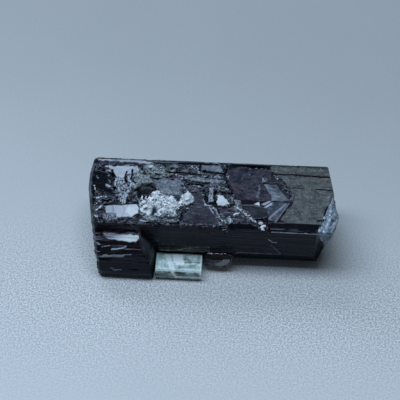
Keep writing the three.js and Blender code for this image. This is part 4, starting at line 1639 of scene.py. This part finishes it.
def build_fractures():
    """Thin white fracture planes inside the green crystal, slanting across it."""
    points, faces = [], []
    shares = [step / (FRACTURE_STEPS - 1) for step in range(FRACTURE_STEPS)]
    for start, lean, width in FRACTURES:
        faces += fracture_faces(len(points))
        for side in (0, FRACTURE_THICKNESS):
            for u in shares:
                for v in shares:
                    bend = 0.08 * math.sin(5 * u + start) + 0.05 * math.sin(7 * v)
                    x = start + lean * u + 0.25 * v + bend + side
                    points.append((x, FRONT_Y - 0.35 - width * u, 0.2 + 1.25 * v * (1 - 0.1 * u)))
    piece = new_piece("green_crystal_fractures", points, faces, fracture_veil())
    facing_out(piece)
    creased(piece, 30)
    place(piece, None, "green_tourmaline")


SMOKY_FACET = [(0.8, 1.5), (1.6, 2.0), (2.4, 1.9), (2.2, 1.2), (1.3, 0.8), (0.8, 1.0)]


def smoky_stone():
    """Dark brownish clear stone with a rough skin."""
    return clear_stone(
        "smoky crystal",
        rgb(0.78, 0.72, 0.72),
        (rgb(0.035, 0.034, 0.042), rgb(0.085, 0.08, 0.09)),
        rgb(0.42, 0.30, 0.32),
        420.0,
        lambda stone, cloud: (stone.attribute("frost") + (cloud - 0.5) * 0.8).rise(0.2, 0.9),
    )


def build_smoky_crystal():
    """The rounded smoky crystal, with one facet in front painted lighter as its sheen."""
    piece = remeshed("smoky_crystal", SMOKY_MESH)
    x, y, z = np.array([vert.co for vert in piece.data.vertices]).T / MM
    # Painted sheen: the front facet gets a whitish veil and more frost.
    facet = inside(x, z, SMOKY_FACET, 0.25, 0.15, 240) * (y < FRONT_Y)
    mottle = ease((rough_hills(x * 3, z * 3, 241) - 0.05) / 0.35)
    masks = {name: np.zeros(len(x)) for name in ("side", "broken", "around", "ribbed")}
    masks["etched"] = np.full(len(x), 0.1)
    masks["frost"] = 0.2 + 0.7 * facet
    masks["veil"] = facet * (0.2 + 0.4 * mottle)
    store(piece.data, **masks)
    striation_tree().grow(piece, 19, smoky_stone())
    creased(piece, 30)
    place(piece, "smoky_crystal", "smoky_crystal")


# ---- Floor, light and camera ------------------------------------------------------------------
CARD_HALF = 1500.0
DAYLIGHT = (0.64, 0.81, 1.0)
SKYLIGHT = rgb(0.62, 0.80, 1.0)
LAMPS_AIM = Vector((0, 0, 0.004))  # metres, like the lamps' places and sizes


def build_floor():
    """Plain pale card with a fine grain, painted brighter towards the front and the left as
    falling light.
    """
    corners = [(x * CARD_HALF, y * CARD_HALF, 0) for x, y in ((-1, -1), (1, -1), (1, 1), (-1, 1))]
    card = Surface("pale card")
    fine = card.noise(4.8, detail=2, roughness=0.8)
    broad = card.noise(0.05, detail=2, seed=3)
    x, y, _ = card.parts(card.place)
    # The grain is crisp beside the crystal and soft further off.
    sharp = y.rise(-12 * MM, 8 * MM, 1, 0.12) * y.rise(-27 * MM, -9 * MM, 0.15, 1)
    grain = 0.5 + (fine.rise(0.36, 0.64) - 0.5) * sharp
    tone = card.blend(grain, rgb(0.32, 0.32, 0.32), rgb(0.80, 0.79, 0.785))
    tone = card.blend(broad.rise(0.3, 0.7) * 0.25, tone, rgb(0.50, 0.50, 0.50))
    # Painted light: the card is brighter towards the front and the left, dimmer towards the back
    # and right.
    tone = card.scaled(tone, (y + x * 0.22).rise(-45 * MM, 45 * MM, 1.31, 0.765))
    bumped = card.bump(fine * sharp, 0.04, 0.5)
    shader = card.principled(Base_Color=tone, Roughness=0.75, Normal=bumped, IOR=1.4)
    floor = new_piece("floor", corners, [(0, 1, 2, 3)], card.finish(shader))


def softbox(name, place, size, power):
    """A rectangular lamp turned to the crystal, with its width level."""
    lamp = bpy.data.lights.new(name, "AREA")
    lamp.shape = "RECTANGLE"
    lamp.size, lamp.size_y = size
    lamp.energy = power
    lamp.color = DAYLIGHT
    place = Vector(place)
    back = (place - LAMPS_AIM).normalized()
    right = Vector((0, 1, 0)).cross(back).normalized()
    turn = Matrix((right, back.cross(right), back)).transposed()
    linked(name, lamp).matrix_world = Matrix.Translation(place) @ turn.to_4x4()


def build_light():
    """Two soft boxes, one overhead and one behind, in a dim blue room."""
    softbox("overhead softbox", (-0.07, 0.038, 0.34), (0.42, 0.125), 1.1)
    softbox("back softbox", (-0.18, 0.30, 0.26), (0.38, 0.06), 0.58)
    world = bpy.data.worlds.new("room")
    world.use_nodes = True
    room = Graph(world.node_tree)
    room.tree.nodes.clear()
    glow = room.node("ShaderNodeBackground", None, {"Color": SKYLIGHT, "Strength": 0.09})
    room.end("ShaderNodeOutputWorld", Surface=glow)
    bpy.context.scene.world = world
    bpy.context.scene.view_settings.view_transform = "Standard"


AZIMUTH, ELEVATION = math.radians(3.5), math.radians(47)
DISTANCE = 200.0
LENS = 149.0
SENSOR = 36.0
IN_VIEW = Vector((0, -0.2, 3.6))  # the view's middle is this far to the left of it and above it
TO_LEFT, TO_TOP = 1.45, 2.75


def build_camera():
    """A long lens looking down on the crystal's front."""
    level = math.cos(ELEVATION)
    back = (math.sin(AZIMUTH) * level, -math.cos(AZIMUTH) * level, math.sin(ELEVATION))
    back = Vector(back)
    right = Vector((math.cos(AZIMUTH), math.sin(AZIMUTH), 0))
    up = back.cross(right)
    lens = bpy.data.cameras.new("camera")
    lens.lens = LENS
    lens.sensor_width = SENSOR
    lens.clip_start = 0.005
    camera = linked("camera", lens)
    middle = IN_VIEW - right * TO_LEFT + up * TO_TOP
    turn = Matrix((right, up, back)).transposed()
    camera.matrix_world = Matrix.Translation((middle + back * DISTANCE) * MM) @ turn.to_4x4()
    bpy.context.scene.camera = camera


# ---- The specimen -----------------------------------------------------------------------------
build_camera()
build_light()
build_floor()

crystal = closed_loft("dark_crystal", *dark_crystal())
striation_tree().grow(crystal, 7, dark_tourmaline())
creased(crystal, 32)
place(crystal, "tourmaline_crystal", "dark_tourmaline")
white = feldspar()
build_feldspar_crust(white)
build_chips(white)
build_end_crust()
build_green_crystal()
build_fractures()
build_smoky_crystal()
